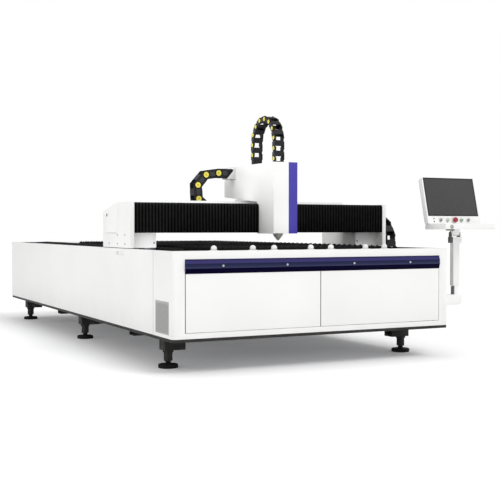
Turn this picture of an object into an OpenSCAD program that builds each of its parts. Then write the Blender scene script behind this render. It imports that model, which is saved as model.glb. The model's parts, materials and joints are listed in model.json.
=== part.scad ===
// Fiber laser cutting machine: an open flat-bed machine with a moving gantry,
// a bellows-covered beam, a Z-axis cutting head, cable chains and a swing console.
// Millimetres. The modules draw in the machine's own corner frame: X across from the
// left side, Y back from the front face, Z up from the floor. place() then centres it.

/* [Body] */
// Width across the side panels
body_w = 2300; // [2200:10:2500]
// Length from the front face to the rear panel
body_l = 4820; // [4600:10:5200]
// Height of the bed's rim above the floor
body_top = 845; // [835:1:850]
// Height of the panels' lower edge above the floor
body_bottom = 250; // [230:1:265]
// Thickness of the cladding sheet
sheet_t = 4; // [3:0.5:6]
// Width of the folded flanges on the panels
flange_w = 30; // [20:1:30]
// Length of the front cover's side returns
front_l = 363; // [340:1:380]
// Depth of the front cover's top flange
front_deck = 90; // [80:1:110]
// Radius of the front cover's upright corners
corner_r = 30; // [20:1:40]

/* [Front] */
// White margin beside the doors
front_margin = 90; // [80:1:110]
// White margin under the doors
sill_h = 38; // [34:1:50]
// White margin over the trim strip
header_h = 55; // [45:1:70]
// Height of the coloured trim strip
trim_h = 97; // [80:1:110]
// How far the trim strip stands out of the front face
trim_bulge = 12; // [6:1:20]
// Gap round the doors
door_gap = 3; // [3:0.1:5]
// Depth of the door pans
door_t = 22; // [20:1:28]
// Radius of the door's hinge pins
door_pin_r = 5; // [4:0.5:6]

/* [Side vent] */
// Length of the vent in the front cover's left return
vent_l = 257; // [200:1:265]
// Height of the vent
vent_h = 226; // [150:1:240]
// Pitch of the vent's slots
vent_pitch = 8; // [6:0.5:14]

/* [Slat bed] */
// Distance from the body's side to the end of a slat
slat_inset = 380; // [350:5:450]
// Height of a slat to its tooth tips
slat_h = 110; // [90:1:120]
// Thickness of a slat
slat_t = 4; // [3:0.5:5]
// Distance between slats
slat_pitch = 80; // [70:1:85]
// Number of slats
slat_count = 43; // [20:1:43]
// Height of the tooth tips above the floor
slat_top = 870; // [860:1:880]
// Width of a slat tooth
tooth_w = 55; // [40:1:70]
// Depth of a slat tooth
tooth_h = 22; // [15:1:28]
// Radius of a loading ball
ball_r = 21; // [15:0.5:22]

/* [Guides and drives] */
// Width of a linear rail
rail_w = 30; // [25:1:35]
// Height of a linear rail
rail_h = 28; // [24:1:32]
// Gap between a rail and its block
rail_gap = 0.3; // [0.2:0.05:0.5]
// Gear module of the racks and pinions
gear_m = 4; // [3.5:0.25:4]
// Teeth of a pinion
pinion_teeth = 20; // [18:1:20]
// Backlash between a rack and its pinion
backlash = 0.4; // [0.3:0.05:0.6]
// Radial running clearance of shafts and pins
run_gap = 0.05; // [0.02:0.01:0.09]

/* [Travel] */
// Gantry travel towards the front from where it is drawn
y_forward = 200; // [100:10:200]
// Gantry travel towards the back from where it is drawn
y_back = 2700; // [2000:10:2700]
// Head travel to the left from where it is drawn
x_left = 720; // [500:10:720]
// Head travel to the right from where it is drawn
x_right = 710; // [500:10:710]
// Head travel upwards from where it is drawn
z_up = 75; // [50:1:75]
// Head travel downwards from where it is drawn
z_down = 15; // [5:1:15]

/* [Gantry] */
// Front face of the gantry from the front of the machine
gantry_y = 850; // [800:5:1000]
// Length of the gantry's ends along the machine
gantry_l = 650; // [620:5:700]
// Thickness of the end plates
end_t = 35; // [25:1:40]
// Height of the gantry's ends above the floor
gantry_top = 1200; // [1195:1:1225]
// Depth of the gantry beam
beam_d = 195; // [180:1:200]
// Height of the gantry beam
beam_h = 226; // [222:1:230]
// Wall of the gantry beam
beam_wall = 10; // [6:1:16]
// Width of a gantry carriage
carriage_w = 210; // [200:1:240]
// Height of a gantry carriage
carriage_h = 114; // [110:1:118]
// Pleat pitch of the bellows
pleat_pitch = 26; // [16:1:30]
// Pleat depth of the bellows
pleat_d = 14; // [8:1:18]

/* [Cutting head] */
// Centre of the head cover across the machine
head_x = 1188; // [1000:1:1300]
// Width of the head cover
cover_w = 210; // [200:1:240]
// Front face of the head cover from the front of the machine
cover_y = 600; // [560:1:610]
// Lower edge of the head cover above the floor
cover_bottom = 958; // [950:1:975]
// Top of the head cover above the floor
cover_top = 1515; // [1505:1:1560]
// Width of the coloured stripe on the cover's front
stripe_w = 77; // [60:1:90]
// Radius of the cutting head's body
head_r = 45; // [40:0.5:46]
// Height of the nozzle tip above the floor
nozzle_z = 903; // [898:1:910]

/* [Cable chains] */
// Link pitch of the gantry and bed chains
link_pitch = 116; // [100:1:130]
// Link pitch of the head chain
head_link_pitch = 80; // [70:1:100]
// Height of a link of the gantry and bed chains
link_h = 74; // [64:1:76]
// Height of a link of the head chain
head_link_h = 50; // [46:1:56]
// Width of the gantry and bed chains
chain_w = 100; // [90:1:106]
// Width of the head chain
head_chain_w = 88; // [80:1:96]
// Bend radius of the gantry chain
x_bend_r = 150; // [140:1:160]
// Bend radius of the head chain
z_bend_r = 187; // [170:1:195]
// Bend radius of the bed chain
y_bend_r = 232; // [220:1:240]

/* [Console] */
// Width of the console pole
pole_w = 66; // [60:1:74]
// Depth of the console pole
pole_d = 46; // [44:1:60]
// Distance from the right side to the pole's axis
pole_reach = 153; // [150:1:200]
// Distance from the front face to the pole's axis
pole_y = 115; // [105:1:160]
// Height of the console's shelf above the floor
shelf_z = 991; // [980:1:1020]
// Width of the monitor housing
console_w = 520; // [500:1:600]
// Visible width of the screen
screen_w = 478; // [440:1:484]
// Visible height of the screen
screen_h = 306; // [280:1:320]
// Thickness of the monitor housing
console_t = 45; // [40:1:60]
// Backward lean of the screen
console_lean = 14; // [8:1:20]
// Distance between the push buttons
button_pitch = 68; // [60:1:72]

/* [Feet] */
// Diameter of a foot pad
pad_d = 144; // [120:1:160]
// Radius of a levelling stud
stud_r = 24; // [18:1:28]

/* [Hidden] */
$fn = 48;

white = [0.93, 0.93, 0.93];
black = [0.07, 0.07, 0.08];
steel = [0.62, 0.63, 0.65];
grey = [0.62, 0.62, 0.62];
blue = [0.18, 0.16, 0.45];

// Bed levels and widths
base_t = 14;
base_z = body_bottom - base_t;
rail_seat = body_top - 45;
block_w = 90;
block_l = 150;
rail_x = end_t + carriage_w - block_w / 2;
side_in = rail_x + block_w / 2 + 5;
side_out = flange_w + sheet_t;
side_y = [60, body_l - 40];
tube = 10;
base_tube = 100;
base_tube_h = 45;
deck_z = body_top - sheet_t;
grip_d = 16;
grip_y = [front_l + 627, front_l + 817];
grip_z = [body_top - 51, body_top - 25];

// Front openings
open_x = [front_margin, body_w - front_margin];
open_z = [body_bottom + sill_h, body_top - header_h];
trim_z = [open_z[1] - trim_h, open_z[1]];
door_z = [open_z[0] + door_gap, trim_z[0] - door_gap];
door_x = [open_x[0] + door_gap, body_w / 2 - door_gap / 2];
pin_in = 36;
pin_x = door_x[0] + pin_in;
pin_y = 14;
lug_t = 12;
door_sheet = 3;
trim_screw_r = 8;
trim_lip = trim_h * 0.08;
trim_flat = [trim_z[1] - trim_h * 0.66, trim_z[1] - trim_h * 0.31];
vent_y = [66, 66 + vent_l];
vent_z = [body_bottom + 24, body_bottom + 24 + vent_h];

// Slat bed
slat_l = body_w - 2 * slat_inset;
slat_y0 = front_deck + 47;
slat_y1 = slat_y0 + (slat_count - 1) * slat_pitch;
slat_x0 = (body_w - slat_l) / 2;
slat_base = slat_top - slat_h;
comb_depth = 40;
comb_h = 100;
comb_z = slat_base + comb_depth - comb_h;
comb_in = 50;
cross_h = 60;
tray_t = 2.5;
tray_h = 160;
tray_y = [front_deck + 60, slat_y1 + 100];
tooth_n = floor(slat_l / tooth_w);
tooth_p = slat_l / tooth_n;
ball_cup_r = ball_r + 2;
ball_step = body_w / 4.9;
ball_x0 = ball_step * 0.69;
ball_pair = ball_step * 0.64;
ball_at = concat(
    [for (i = [0:3]) ball_x0 + i * ball_step],
    [for (i = [0:2]) ball_x0 + ball_pair + i * ball_step]
);
ball_y = front_deck / 2;
ball_z = body_top + 16;

// Rack and pinion
rp = gear_m * pinion_teeth / 2;
gear_p = PI * gear_m;
rack_h = 30;
rack_back = 21;
rack_x = side_out + 6;
pinion_x = rack_x + rack_back + 1.25 * gear_m + rp;
pinion_y = gantry_y + 480;
rack_lo = ceil((y_forward + 130) / gear_p);
rack_hi = ceil((y_back + 130) / gear_p);
shaft_r = 12;
shaft_hole = 15;

// Gantry levels
car_z = rail_seat + 50;
car_plate = 20;
car_y = gantry_y + 95;
car_joint = 3;
beam_z = car_z + carriage_h;
beam_top = beam_z + beam_h;
beam_y = [gantry_y + 100, gantry_y + 100 + beam_d];
gantry_back = gantry_y + gantry_l;
seam_y = beam_y[1] + 5;
seam = 2;
cover_sheet = 3;
motor_cover_w = 165;
gearbox_r = 40;
motor_w = 78;
x_rail_z = [beam_z + 50, beam_top - 50];
bellows_y = [gantry_y, beam_y[0] - 5];
bellows_z = [beam_z + 1, gantry_top - 3];
bellows_t = 3;

// Head levels
cover_t = 4;
stripe_t = 1.5;
cover_x = [head_x - cover_w / 2, head_x + cover_w / 2];
plate_t = 17;
plate_y = beam_y[0] - rail_h - 37;
plate_x = [cover_x[0] + cover_t + 3, cover_x[1] - cover_t - 3];
x_rack_y = beam_y[1] - 45;
x_pin_y = x_rack_y + rack_back + 1.25 * gear_m + rp;
x_rack_lo = ceil((x_left + 110) / gear_p);
x_rack_hi = ceil((x_right + 110) / gear_p);
top_plate_z = beam_top + rack_h + 5;
top_plate_t = 15;
head_y = cover_y + 125;
clamp_z = beam_z + 96;
slide_y = plate_y - 30;
slide_gap = 0.3;
nozzle_h = 50;

// Cable chains
plate_w = 6;
link_end = 0.45;
chain_floor = 4;
x_chain_y = [beam_y[1] + 145, beam_y[1] + 145 + chain_w];
x_bend = [head_x - 300, beam_top - 32 + x_bend_r];
x_links = 12;
x_top_run = cover_x[0] - link_h * link_end - 0.7 - x_bend[0];
x_lower_run = x_links * link_pitch - PI * x_bend_r - x_top_run;
gusset_l = 71;
gusset_t = 4;
z_leg_y = cover_y + 103;
z_leg_h = 173;
z_chain_x = head_x - 9.5;
z_start = 49;
z_end = 84;
z_length = z_leg_h + z_start + PI * z_bend_r + z_leg_h - z_end;
z_links = round(z_length / head_link_pitch);
y_chain_x = body_w + 9;
y_bend = [gantry_y + 264, body_top + 15];
y_links = 22;
y_top_run = 286;

// Console
pole_x = body_w + pole_reach;
arm_z = [393, 475];
pole_z = [545, 883];
tilt_z = shelf_z - 35;
tilt_pin_r = 8;
lug_r = 18;
coupling_w = 92;
coupling_d = 66;
shelf_w = 484;
shelf_y = [-80, 180];
shelf_h = 45;
face_z = shelf_z + shelf_h;
face_y = pole_y;
face_h = 378;
face_drop = 16;
face_wall = 8;
screen_lift = 63;
screen_t = 4;
button_lift = 28;
stem_r = 9;
button_r = 12.5;

// Feet
foot_x = 140;
foot_y = [435, body_l / 2 + 66, body_l - 286];
bracket_z = [128, base_z];
bracket_t = 16;
bracket_x = [-45, 115];
bracket_y = [-50, 60];
pad_top = 45;

// The part's own frame: bottom centre of its bounding box
screw_h = 3;
collar_r = 100;
collar_l = 80;
collar_z = 480;
origin_x = (pole_x + console_w / 2 - screw_h) / 2;
origin_y = (shelf_y[0] + body_l + collar_l) / 2;

module place() {
    translate([-origin_x, -origin_y, 0]) children();
}

module box(x, y, z) {
    translate([x[0], y[0], z[0]]) cube([x[1] - x[0], y[1] - y[0], z[1] - z[0]]);
}

function centred(c, w) = [c - w / 2, c + w / 2];

module both_sides() {
    children();
    translate([body_w, 0, 0]) mirror([1, 0, 0]) children();
}

module along_x(x, pts) {
    translate([x[0], 0, 0]) rotate([90, 0, 90]) linear_extrude(x[1] - x[0]) polygon(pts);
}

module along_y(y, pts) {
    translate([0, y[1], 0]) rotate([90, 0, 0]) linear_extrude(y[1] - y[0]) polygon(pts);
}

module post(x, y, z, r) {
    translate([x, y, z[0]]) cylinder(r = r, h = z[1] - z[0]);
}

module rounded_post(w, d, z, r) {
    translate([0, 0, z[0]]) linear_extrude(z[1] - z[0]) union() {
        square([w - 2 * r, d], center = true);
        square([w, d - 2 * r], center = true);
        for (sx = [-1, 1], sy = [-1, 1]) translate([sx * (w / 2 - r), sy * (d / 2 - r)]) circle(r);
    }
}

// Bed

module side_beams() {
    color(black) place() both_sides() {
        difference() {
            box([side_out, side_in], side_y, [body_bottom - 1, rail_seat]);
            box(
                [side_out + tube, side_in - tube], [side_y[0] - 1, side_y[1] + 1],
                [body_bottom + tube, rail_seat - tube]
            );
        }
        box([sheet_t + 1, side_in], [20, body_l - 20], [base_z, body_bottom]);
    }
}

module square_tube(x, y, z, t) {
    difference() {
        box(x, y, z);
        box([x[0] - 1, x[1] + 1], [y[0] + t, y[1] - t], [z[0] + t, z[1] - t]);
    }
}

module cross_members() {
    color(black) place() {
        for (i = [0, 1], f = [0.23, 0.72]) {
            y = foot_y[i] + (foot_y[i + 1] - foot_y[i]) * f;
            z = [base_z - base_tube_h, base_z];
            square_tube([flange_w, body_w - flange_w], centred(y, base_tube), z, tube / 2);
        }
        for (i = [0:5]) {
            y = slat_y0 + cross_h / 2 + i * (slat_y1 - slat_y0 - cross_h) / 5;
            z = [comb_z - cross_h, comb_z];
            square_tube([side_in, body_w - side_in], centred(y, cross_h), z, tube / 2);
        }
    }
}

module side_sheet() {
    along_y([front_l + door_gap, body_l - sheet_t], [
        [0, body_bottom], [flange_w, body_bottom], [flange_w, body_bottom + sheet_t],
        [sheet_t, body_bottom + sheet_t], [sheet_t, deck_z], [flange_w, deck_z],
        [flange_w, body_top], [0, body_top]
    ]);
}

module left_side_panel() {
    color(white) place() difference() {
        union() {
            side_sheet();
            box([0, grip_d + sheet_t], grip_y + [-sheet_t, sheet_t], grip_z + [-sheet_t, sheet_t]);
        }
        box([-1, grip_d], grip_y, grip_z);
    }
}

module right_side_panel() {
    color(white) place() translate([body_w, 0, 0]) mirror([1, 0, 0]) side_sheet();
}

module rear_panel() {
    color(white) place() difference() {
        union() {
            box([0, body_w], [body_l - sheet_t, body_l], [body_bottom, body_top]);
            box([flange_w + 1, body_w - flange_w - 1], [body_l - flange_w, body_l], [deck_z, body_top]);
            translate([body_w / 2, body_l - sheet_t, collar_z]) rotate([-90, 0, 0])
                cylinder(r = collar_r, h = collar_l + sheet_t);
        }
        translate([body_w / 2, body_l - sheet_t - 1, collar_z]) rotate([-90, 0, 0])
            cylinder(r = collar_r - 3, h = collar_l + sheet_t + 2);
    }
}

module rear_deck() {
    y = [slat_y1 + 60, body_l - sheet_t];
    z = deck_z - 1;
    color(white) place() {
        box([side_in, body_w - side_in], y, [z - sheet_t, z]);
        box([side_in, side_in + sheet_t], y, [rail_seat - 60, z]);
        box([body_w - side_in - sheet_t, body_w - side_in], y, [rail_seat - 60, z]);
    }
}

module front_outline(inset) {
    translate([inset, corner_r]) square([body_w - 2 * inset, front_l - corner_r]);
    translate([corner_r, inset]) square([body_w - 2 * corner_r, corner_r - inset + 1]);
    for (x = [corner_r, body_w - corner_r]) translate([x, corner_r]) circle(corner_r - inset);
}

module front_cover() {
    color(white) place() difference() {
        union() {
            difference() {
                translate([0, 0, body_bottom]) linear_extrude(body_top - body_bottom) front_outline(0);
                translate([0, 0, body_bottom - 1]) linear_extrude(deck_z - body_bottom + 1)
                    front_outline(sheet_t);
                box([sheet_t, body_w - sheet_t], [front_l - 1, front_l + 1], [body_bottom - 1, deck_z]);
                box([flange_w, body_w - flange_w], [front_deck, front_l + 1], [deck_z - 1, body_top + 1]);
            }
            box(
                [flange_w, body_w - flange_w], [front_deck - sheet_t, front_deck],
                [deck_z - flange_w, body_top]
            );
            both_sides() for (z = [door_z[0] - 5 - lug_t, door_z[1] + 5])
                box([front_margin - 30, pin_x + 20], [sheet_t - 1, 40], [z, z + lug_t]);
        }
        box(open_x, [-1, sheet_t], open_z);
        box([-1, sheet_t + 1], vent_y, vent_z);
        both_sides() post(pin_x, pin_y, [body_bottom, open_z[1]], door_pin_r + run_gap);
        for (x = ball_at) post(x, ball_y, [deck_z - 1, body_top + 1], ball_cup_r + 0.2);
    }
}

module front_trim() {
    color(blue) place() along_x(open_x, [
        [sheet_t - 1, trim_z[0]], [sheet_t - 1, trim_z[1]], [-trim_bulge / 4, trim_z[1]],
        [-trim_bulge / 4, trim_z[1] - trim_lip], [-trim_bulge, trim_flat[1]], [-trim_bulge, trim_flat[0]],
        [-trim_bulge / 4, trim_z[0]]
    ]);
}

module trim_screws() {
    mid = (trim_flat[0] + trim_flat[1]) / 2;
    color(steel) place() for (f = [-0.368, -0.132, 0.132, 0.368])
        translate([body_w / 2 + f * (open_x[1] - open_x[0]), -trim_bulge, mid])
        rotate([90, 0, 0]) cylinder(r = trim_screw_r, h = screw_h);
}

module side_vent() {
    rows = floor((vent_h - 24) / vent_pitch);
    slot = vent_pitch * 0.35;
    color(grey) place() difference() {
        box([0, 6], vent_y, vent_z);
        for (i = [0:rows - 1]) translate([3, vent_y[0] + 14, vent_z[0] + 14 + i * vent_pitch])
            rotate([0, -30, 0]) translate([-10, 0, -slot / 2]) cube([20, vent_l - 28, slot]);
    }
}

module slats() {
    color(black) place() for (i = [0:slat_count - 1]) {
        y = slat_y0 + i * slat_pitch;
        along_y([y - slat_t / 2, y + slat_t / 2], concat(
            [[slat_x0, slat_base], [slat_x0 + slat_l, slat_base], [slat_x0 + slat_l, slat_top - tooth_h]],
            [for (k = [0:tooth_n - 1], h = [0, 1])
                [slat_x0 + slat_l - (k + (h + 1) / 2) * tooth_p, slat_top - h * tooth_h]]
        ));
    }
}

module slat_combs() {
    slot = slat_t / 2 + 0.5;
    front = slat_y0 - 30;
    back = slat_y1 + 30;
    top = comb_z + comb_h;
    color(black) place() for (x = [slat_x0 + comb_in, body_w / 2, slat_x0 + slat_l - comb_in])
        along_x([x - 3, x + 3], concat(
            [[back, top], [back, comb_z], [front, comb_z], [front, top]],
            [for (i = [0:slat_count - 1], k = [0:3])
                [slat_y0 + i * slat_pitch + (k < 2 ? -slot : slot), (k == 0 || k == 3) ? top : slat_base]]
        ));
}

module slag_trays() {
    tray_x = [side_in + 15, body_w / 2 - 10];
    color(steel) place() both_sides() difference() {
        box(tray_x, tray_y, [base_z, base_z + tray_h]);
        box(tray_x + [tray_t, -tray_t], tray_y + [tray_t, -tray_t], [base_z + tray_t, base_z + tray_h + 1]);
    }
}

module loading_balls() {
    color(white) place() for (x = ball_at) translate([x, ball_y, 0]) {
        post(0, 0, [deck_z - 16, body_top + 1], ball_cup_r);
        post(0, 0, [body_top, body_top + 4], ball_cup_r + 8);
        difference() {
            translate([0, 0, ball_z]) sphere(ball_r);
            box([-40, 40], [-40, 40], [ball_z - 60, body_top + 1]);
        }
    }
}

module y_rails() {
    w = rail_w / 2;
    color(steel) place() both_sides() along_y([gantry_y - y_forward - 40, gantry_back + y_back + 40], [
        [rail_x - w, rail_seat], [rail_x + w, rail_seat], [rail_x + w, rail_seat + rail_h * 0.4],
        [rail_x + w - 4, rail_seat + rail_h * 0.55], [rail_x + w - 4, rail_seat + rail_h * 0.7],
        [rail_x + w, rail_seat + rail_h * 0.85], [rail_x + w, rail_seat + rail_h],
        [rail_x - w, rail_seat + rail_h], [rail_x - w, rail_seat + rail_h * 0.85],
        [rail_x - w + 4, rail_seat + rail_h * 0.7], [rail_x - w + 4, rail_seat + rail_h * 0.55],
        [rail_x - w, rail_seat + rail_h * 0.4]
    ]);
}

// Rack in plan: its back on u = 0, teeth towards +u, the pinion's centre at v = 0
function rack_pts(lo, hi) = concat(
    [[0, (hi + 0.5) * gear_p], [0, -(lo + 0.5) * gear_p], [rack_back, -(lo + 0.5) * gear_p]],
    [for (k = [-lo:hi - 1], c = [0:3]) [
        rack_back + ((c == 0 || c == 3) ? 0 : 2.25 * gear_m),
        (k + 0.5) * gear_p + (c < 2 ? -1 : 1)
            * (gear_p / 4 - backlash / 4 + ((c == 0 || c == 3) ? 1.25 : -1) * gear_m * tan(20))
    ]],
    [[rack_back, (hi + 0.5) * gear_p]]
);

function inv(a) = tan(a) * 180 / PI - a;
base_r = rp * cos(20);
root_r = rp - 1.2 * gear_m;
tip_r = rp + 0.95 * gear_m;
half_a = 90 / pinion_teeth - backlash / 4 / rp * 180 / PI + inv(20);
function flank_a(r) = half_a - inv(acos(min(1, base_r / r)));
flank_r = [root_r, base_r, base_r + (tip_r - base_r) * 0.35, base_r + (tip_r - base_r) * 0.7, tip_r];
pinion_pts = [
    for (t = [0:pinion_teeth - 1], s = [-1, 1], i = [0:4])
        let (r = flank_r[s < 0 ? i : 4 - i], a = t * 360 / pinion_teeth + s * flank_a(max(r, base_r)))
        [r * cos(a), r * sin(a)]
];

module y_racks() {
    color(steel) place() both_sides() translate([rack_x, pinion_y, rail_seat])
        linear_extrude(rack_h) polygon(rack_pts(rack_lo, rack_hi));
}

module pinion(z, turn, top) {
    translate([0, 0, z + 1]) rotate([0, 0, turn]) linear_extrude(rack_h - 2) polygon(pinion_pts);
    post(0, 0, [z + 2, top], shaft_r);
}

module feet() {
    both_sides() for (y = foot_y) translate([foot_x, y, 0]) children();
}

module foot_brackets() {
    color(black) place() feet() difference() {
        box(bracket_x, bracket_y, bracket_z);
        box(
            bracket_x + [bracket_t, 1], bracket_y + [bracket_t, -bracket_t],
            bracket_z + [bracket_t, -bracket_t]
        );
        post(0, 0, [bracket_z[0] - 1, bracket_z[0] + bracket_t + 1], stud_r + run_gap);
    }
}

module foot_studs() {
    color(steel) place() feet() {
        post(0, 0, [pad_top, bracket_z[0] + 70], stud_r);
        translate([0, 0, bracket_z[0] - 22]) rotate([0, 0, 30]) cylinder(r = stud_r * 1.75, h = 22, $fn = 6);
        translate([0, 0, bracket_z[0] + bracket_t]) cylinder(r = stud_r * 1.2, h = 14, $fn = 6);
    }
}

module foot_pads() {
    r = pad_d / 2;
    color(black) place() feet() rotate_extrude() polygon([
        [0, 0], [r, 0], [r, 13], [r - 14, 22], [38, 29], [34, pad_top], [0, pad_top]
    ]);
}

module y_chain_tray() {
    low = y_bend[1] - y_bend_r - link_h / 2 - chain_floor;
    x = [body_w, y_chain_x + chain_w + 5];
    y = [gantry_y + 110, y_bend[0] + y_lower_run() + y_back / 2];
    color(grey) place() {
        box(x, y, [low - 4, low]);
        box([x[1] - 4, x[1]], y, [low - 4, low + 30]);
        box([x[0], x[0] + 4], y, [low - 4, low + 60]);
    }
}

// Chain path: a straight run along +u, a half turn upwards of radius r, a straight run back
function chain_at(s, a, r) = s < a ? [s, 0]
    : s < a + PI * r ? [a + r * sin((s - a) / r * 180 / PI), r - r * cos((s - a) / r * 180 / PI)]
    : [2 * a + PI * r - s, 2 * r];

module link(p, q, w, height, narrow) {
    d = q - p;
    l = norm(d);
    e = narrow ? plate_w + 0.5 : 0;
    h = height / 2;
    k = 2 * link_end;
    translate([p[0], p[1], 0]) rotate([0, 0, atan2(d[1], d[0])]) {
        for (z = [[-w / 2 + e, -w / 2 + e + plate_w], [w / 2 - e - plate_w, w / 2 - e]])
            translate([0, 0, z[0]]) linear_extrude(plate_w) polygon([
                [-h * 0.55, -h], [l + h * 0.55, -h], [l + h * k, -h * 0.5], [l + h * k, h * 0.5],
                [l + h * 0.55, h], [-h * 0.55, h], [-h * k, h * 0.5], [-h * k, -h * 0.5]
            ]);
        for (y = [[-h, -h + 6], [h - 6, h]])
            box([l * 0.25, l * 0.75], y, [-w / 2 + e + plate_w - 1, w / 2 - e - plate_w + 1]);
        if (!narrow) for (x = [0, l], z = [[-w / 2 - 2, -w / 2 + 1], [w / 2 - 1, w / 2 + 2]])
            post(x, 0, z, h * 0.62);
    }
}

module chain(n, pitch, a, r, w, h) {
    for (i = [0:n - 1])
        link(chain_at(i * pitch, a, r), chain_at((i + 1) * pitch, a, r), w, h, i % 2 == 1);
}

function y_lower_run() = y_links * link_pitch - PI * y_bend_r - y_top_run;

module y_cable_chain() {
    a = y_lower_run();
    color(black) place() translate([y_chain_x + chain_w / 2, y_bend[0] + a, y_bend[1] - y_bend_r])
        rotate([0, 0, -90]) rotate([90, 0, 0]) chain(y_links, link_pitch, a, y_bend_r, chain_w - 4, link_h);
}

module console_arm() {
    w = 40;
    color(white) place() difference() {
        union() {
            box([body_w, body_w + 12], [pole_y - 60, pole_y + 60], [arm_z[0] - 15, arm_z[1] + 15]);
            along_y([pole_y - w, pole_y + w], [
                [body_w + 10, arm_z[0]], [pole_x + w - 28, arm_z[0]], [pole_x + w - 8, arm_z[0] + 8],
                [pole_x + w, arm_z[0] + 28], [pole_x + w, arm_z[1]], [body_w + 10, arm_z[1]]
            ]);
            post(pole_x, pole_y, [arm_z[1] - 1, pole_z[0] - 4], 30);
        }
        post(pole_x, pole_y, [arm_z[0] + 20, pole_z[0] + 1], 20 + run_gap);
    }
}

// Doors

module door() {
    difference() {
        box(door_x, [0, door_t], door_z);
        box(
            door_x + [door_sheet, -door_sheet], [door_sheet, door_t + 1],
            door_z + [door_sheet, -door_sheet]
        );
    }
    post(pin_x, pin_y, [door_z[0] - 3 - lug_t, door_z[0] + 1], door_pin_r);
    post(pin_x, pin_y, [door_z[1] - 1, door_z[1] + 3 + lug_t], door_pin_r);
}

module left_door() {
    color(white) place() door();
}

module right_door() {
    color(white) place() translate([body_w, 0, 0]) mirror([1, 0, 0]) door();
}

// Gantry

module gantry_beam() {
    color(white) place() difference() {
        box([end_t, body_w - end_t], beam_y, [beam_z, beam_top]);
        box(
            [end_t - 1, body_w - end_t + 1], beam_y + [beam_wall, -beam_wall],
            [beam_z + beam_wall, beam_top - beam_wall]
        );
    }
}

module gantry_end_plates() {
    z = y_bend[1] + y_bend_r;
    y = y_bend[0] + y_top_run + 34;
    color(white) place() {
        both_sides() along_x([0, end_t], [
            [gantry_y, car_z], [gantry_back, car_z], [gantry_back, beam_z - seam],
            [seam_y, beam_z - seam], [seam_y, gantry_top], [gantry_y, gantry_top]
        ]);
        box([body_w - 1, y_chain_x + chain_w], [gantry_back - 8, gantry_back], [beam_z - 40, beam_z - seam]);
        box([y_chain_x, y_chain_x + chain_w], [gantry_back - 8, gantry_back], [beam_z - 41, z + link_h / 2]);
        box(centred(y_chain_x + chain_w / 2, chain_w - plate_w * 6), [y, gantry_back - 7], centred(z, 30));
    }
}

module end_plate_screws() {
    at = [[113, 30], [293, 30], [493, 30], [113, 98], [293, 98]];
    color(steel) place() both_sides() for (p = at)
        translate([-screw_h, gantry_y + p[0], car_z + p[1]]) rotate([0, 90, 0]) cylinder(r = 8, h = screw_h);
}

module motor_covers() {
    y = [seam_y + seam, gantry_back];
    t = cover_sheet;
    fall = 67;
    color(white) place() both_sides() difference() {
        along_x([0, motor_cover_w], [
            [y[0], beam_z], [y[1], beam_z], [y[1], gantry_top - fall],
            [y[0] + 24, gantry_top], [y[0], gantry_top]
        ]);
        along_x([t, motor_cover_w - t], [
            [y[0] + t, beam_z - 1], [y[1] - t, beam_z - 1], [y[1] - t, gantry_top - fall - 1],
            [y[0] + 24, gantry_top - t], [y[0] + t, gantry_top - t]
        ]);
        translate([-1, y[1] - 94, beam_z + 141]) rotate([0, 90, 0]) cylinder(r = 13, h = t + 2);
    }
}

module gantry_carriages() {
    x = [end_t, end_t + carriage_w];
    color(white) place() both_sides() difference() {
        box(x, [car_y, gantry_back], [car_z, beam_z]);
        box([x[0] + 12, x[1] - 12], [car_y + 12, gantry_back - 12], [car_z + car_plate, beam_z - 12]);
        box([x[1] - car_joint, x[1] + 1], [seam_y + 19, seam_y + 19 + car_joint], [car_z - 1, beam_z + 1]);
        post(pinion_x, pinion_y, [car_z - 1, car_z + car_plate + 1], shaft_hole);
        post(pinion_x, pinion_y, [beam_z - 13, beam_z + 1], motor_w * 0.75);
    }
}

module y_guide_blocks() {
    w = rail_w / 2 + rail_gap;
    color(steel) place() both_sides() for (y = [car_y + 10, gantry_back - 10 - block_l]) difference() {
        box([rail_x - block_w / 2, rail_x + block_w / 2], [y, y + block_l], [rail_seat + 6, car_z]);
        box([rail_x - w, rail_x + w], [y - 1, y + block_l + 1], [rail_seat, rail_seat + rail_h + rail_gap]);
    }
}

module servo(z, top) {
    difference() {
        post(0, 0, [z, z + 80], gearbox_r);
        post(0, 0, [z - 1, z + 25], shaft_r + run_gap);
    }
    box([-motor_w / 2, motor_w / 2], [-motor_w / 2, motor_w / 2], [z + 79, top - 20]);
    box([-motor_w / 2 + 8, motor_w / 2 - 8], [-motor_w / 2 + 8, motor_w / 2 - 8], [top - 21, top]);
}

module y_servo_motors() {
    color(black) place() both_sides() translate([pinion_x, pinion_y, 0])
        servo(car_z + car_plate, gantry_top - 50);
}

module x_rails() {
    color(steel) place() for (z = x_rail_z)
        box([end_t + 10, body_w - end_t - 10], [beam_y[0] - rail_h, beam_y[0]], centred(z, rail_w));
}

module x_rack() {
    color(steel) place() translate([head_x, x_rack_y, beam_top]) mirror([1, 0, 0]) rotate([0, 0, 90])
        linear_extrude(rack_h) polygon(rack_pts(x_rack_lo, x_rack_hi));
}

function pleats(x, n, y, back) = concat(
    [[x[1], back], [x[0], back]],
    [for (i = [0:2 * n]) [x[0] + (x[1] - x[0]) * i / (2 * n), y + (i % 2) * pleat_d]]
);

module bellows(x) {
    n = round((x[1] - x[0]) / pleat_pitch);
    back = bellows_y[1];
    h = bellows_z[1] - bellows_z[0];
    y = bellows_y[0];
    color(black) place() difference() {
        translate([0, 0, bellows_z[0]]) linear_extrude(h) polygon(pleats(x, n, y, back));
        translate([0, 0, bellows_z[0] + bellows_t]) linear_extrude(h - 2 * bellows_t)
            polygon(pleats(x, n, y + 2 * bellows_t, back + 1));
    }
}

module left_bellows() {
    bellows([end_t, cover_x[0]]);
}

module right_bellows() {
    bellows([cover_x[1], body_w - end_t]);
}

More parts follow.
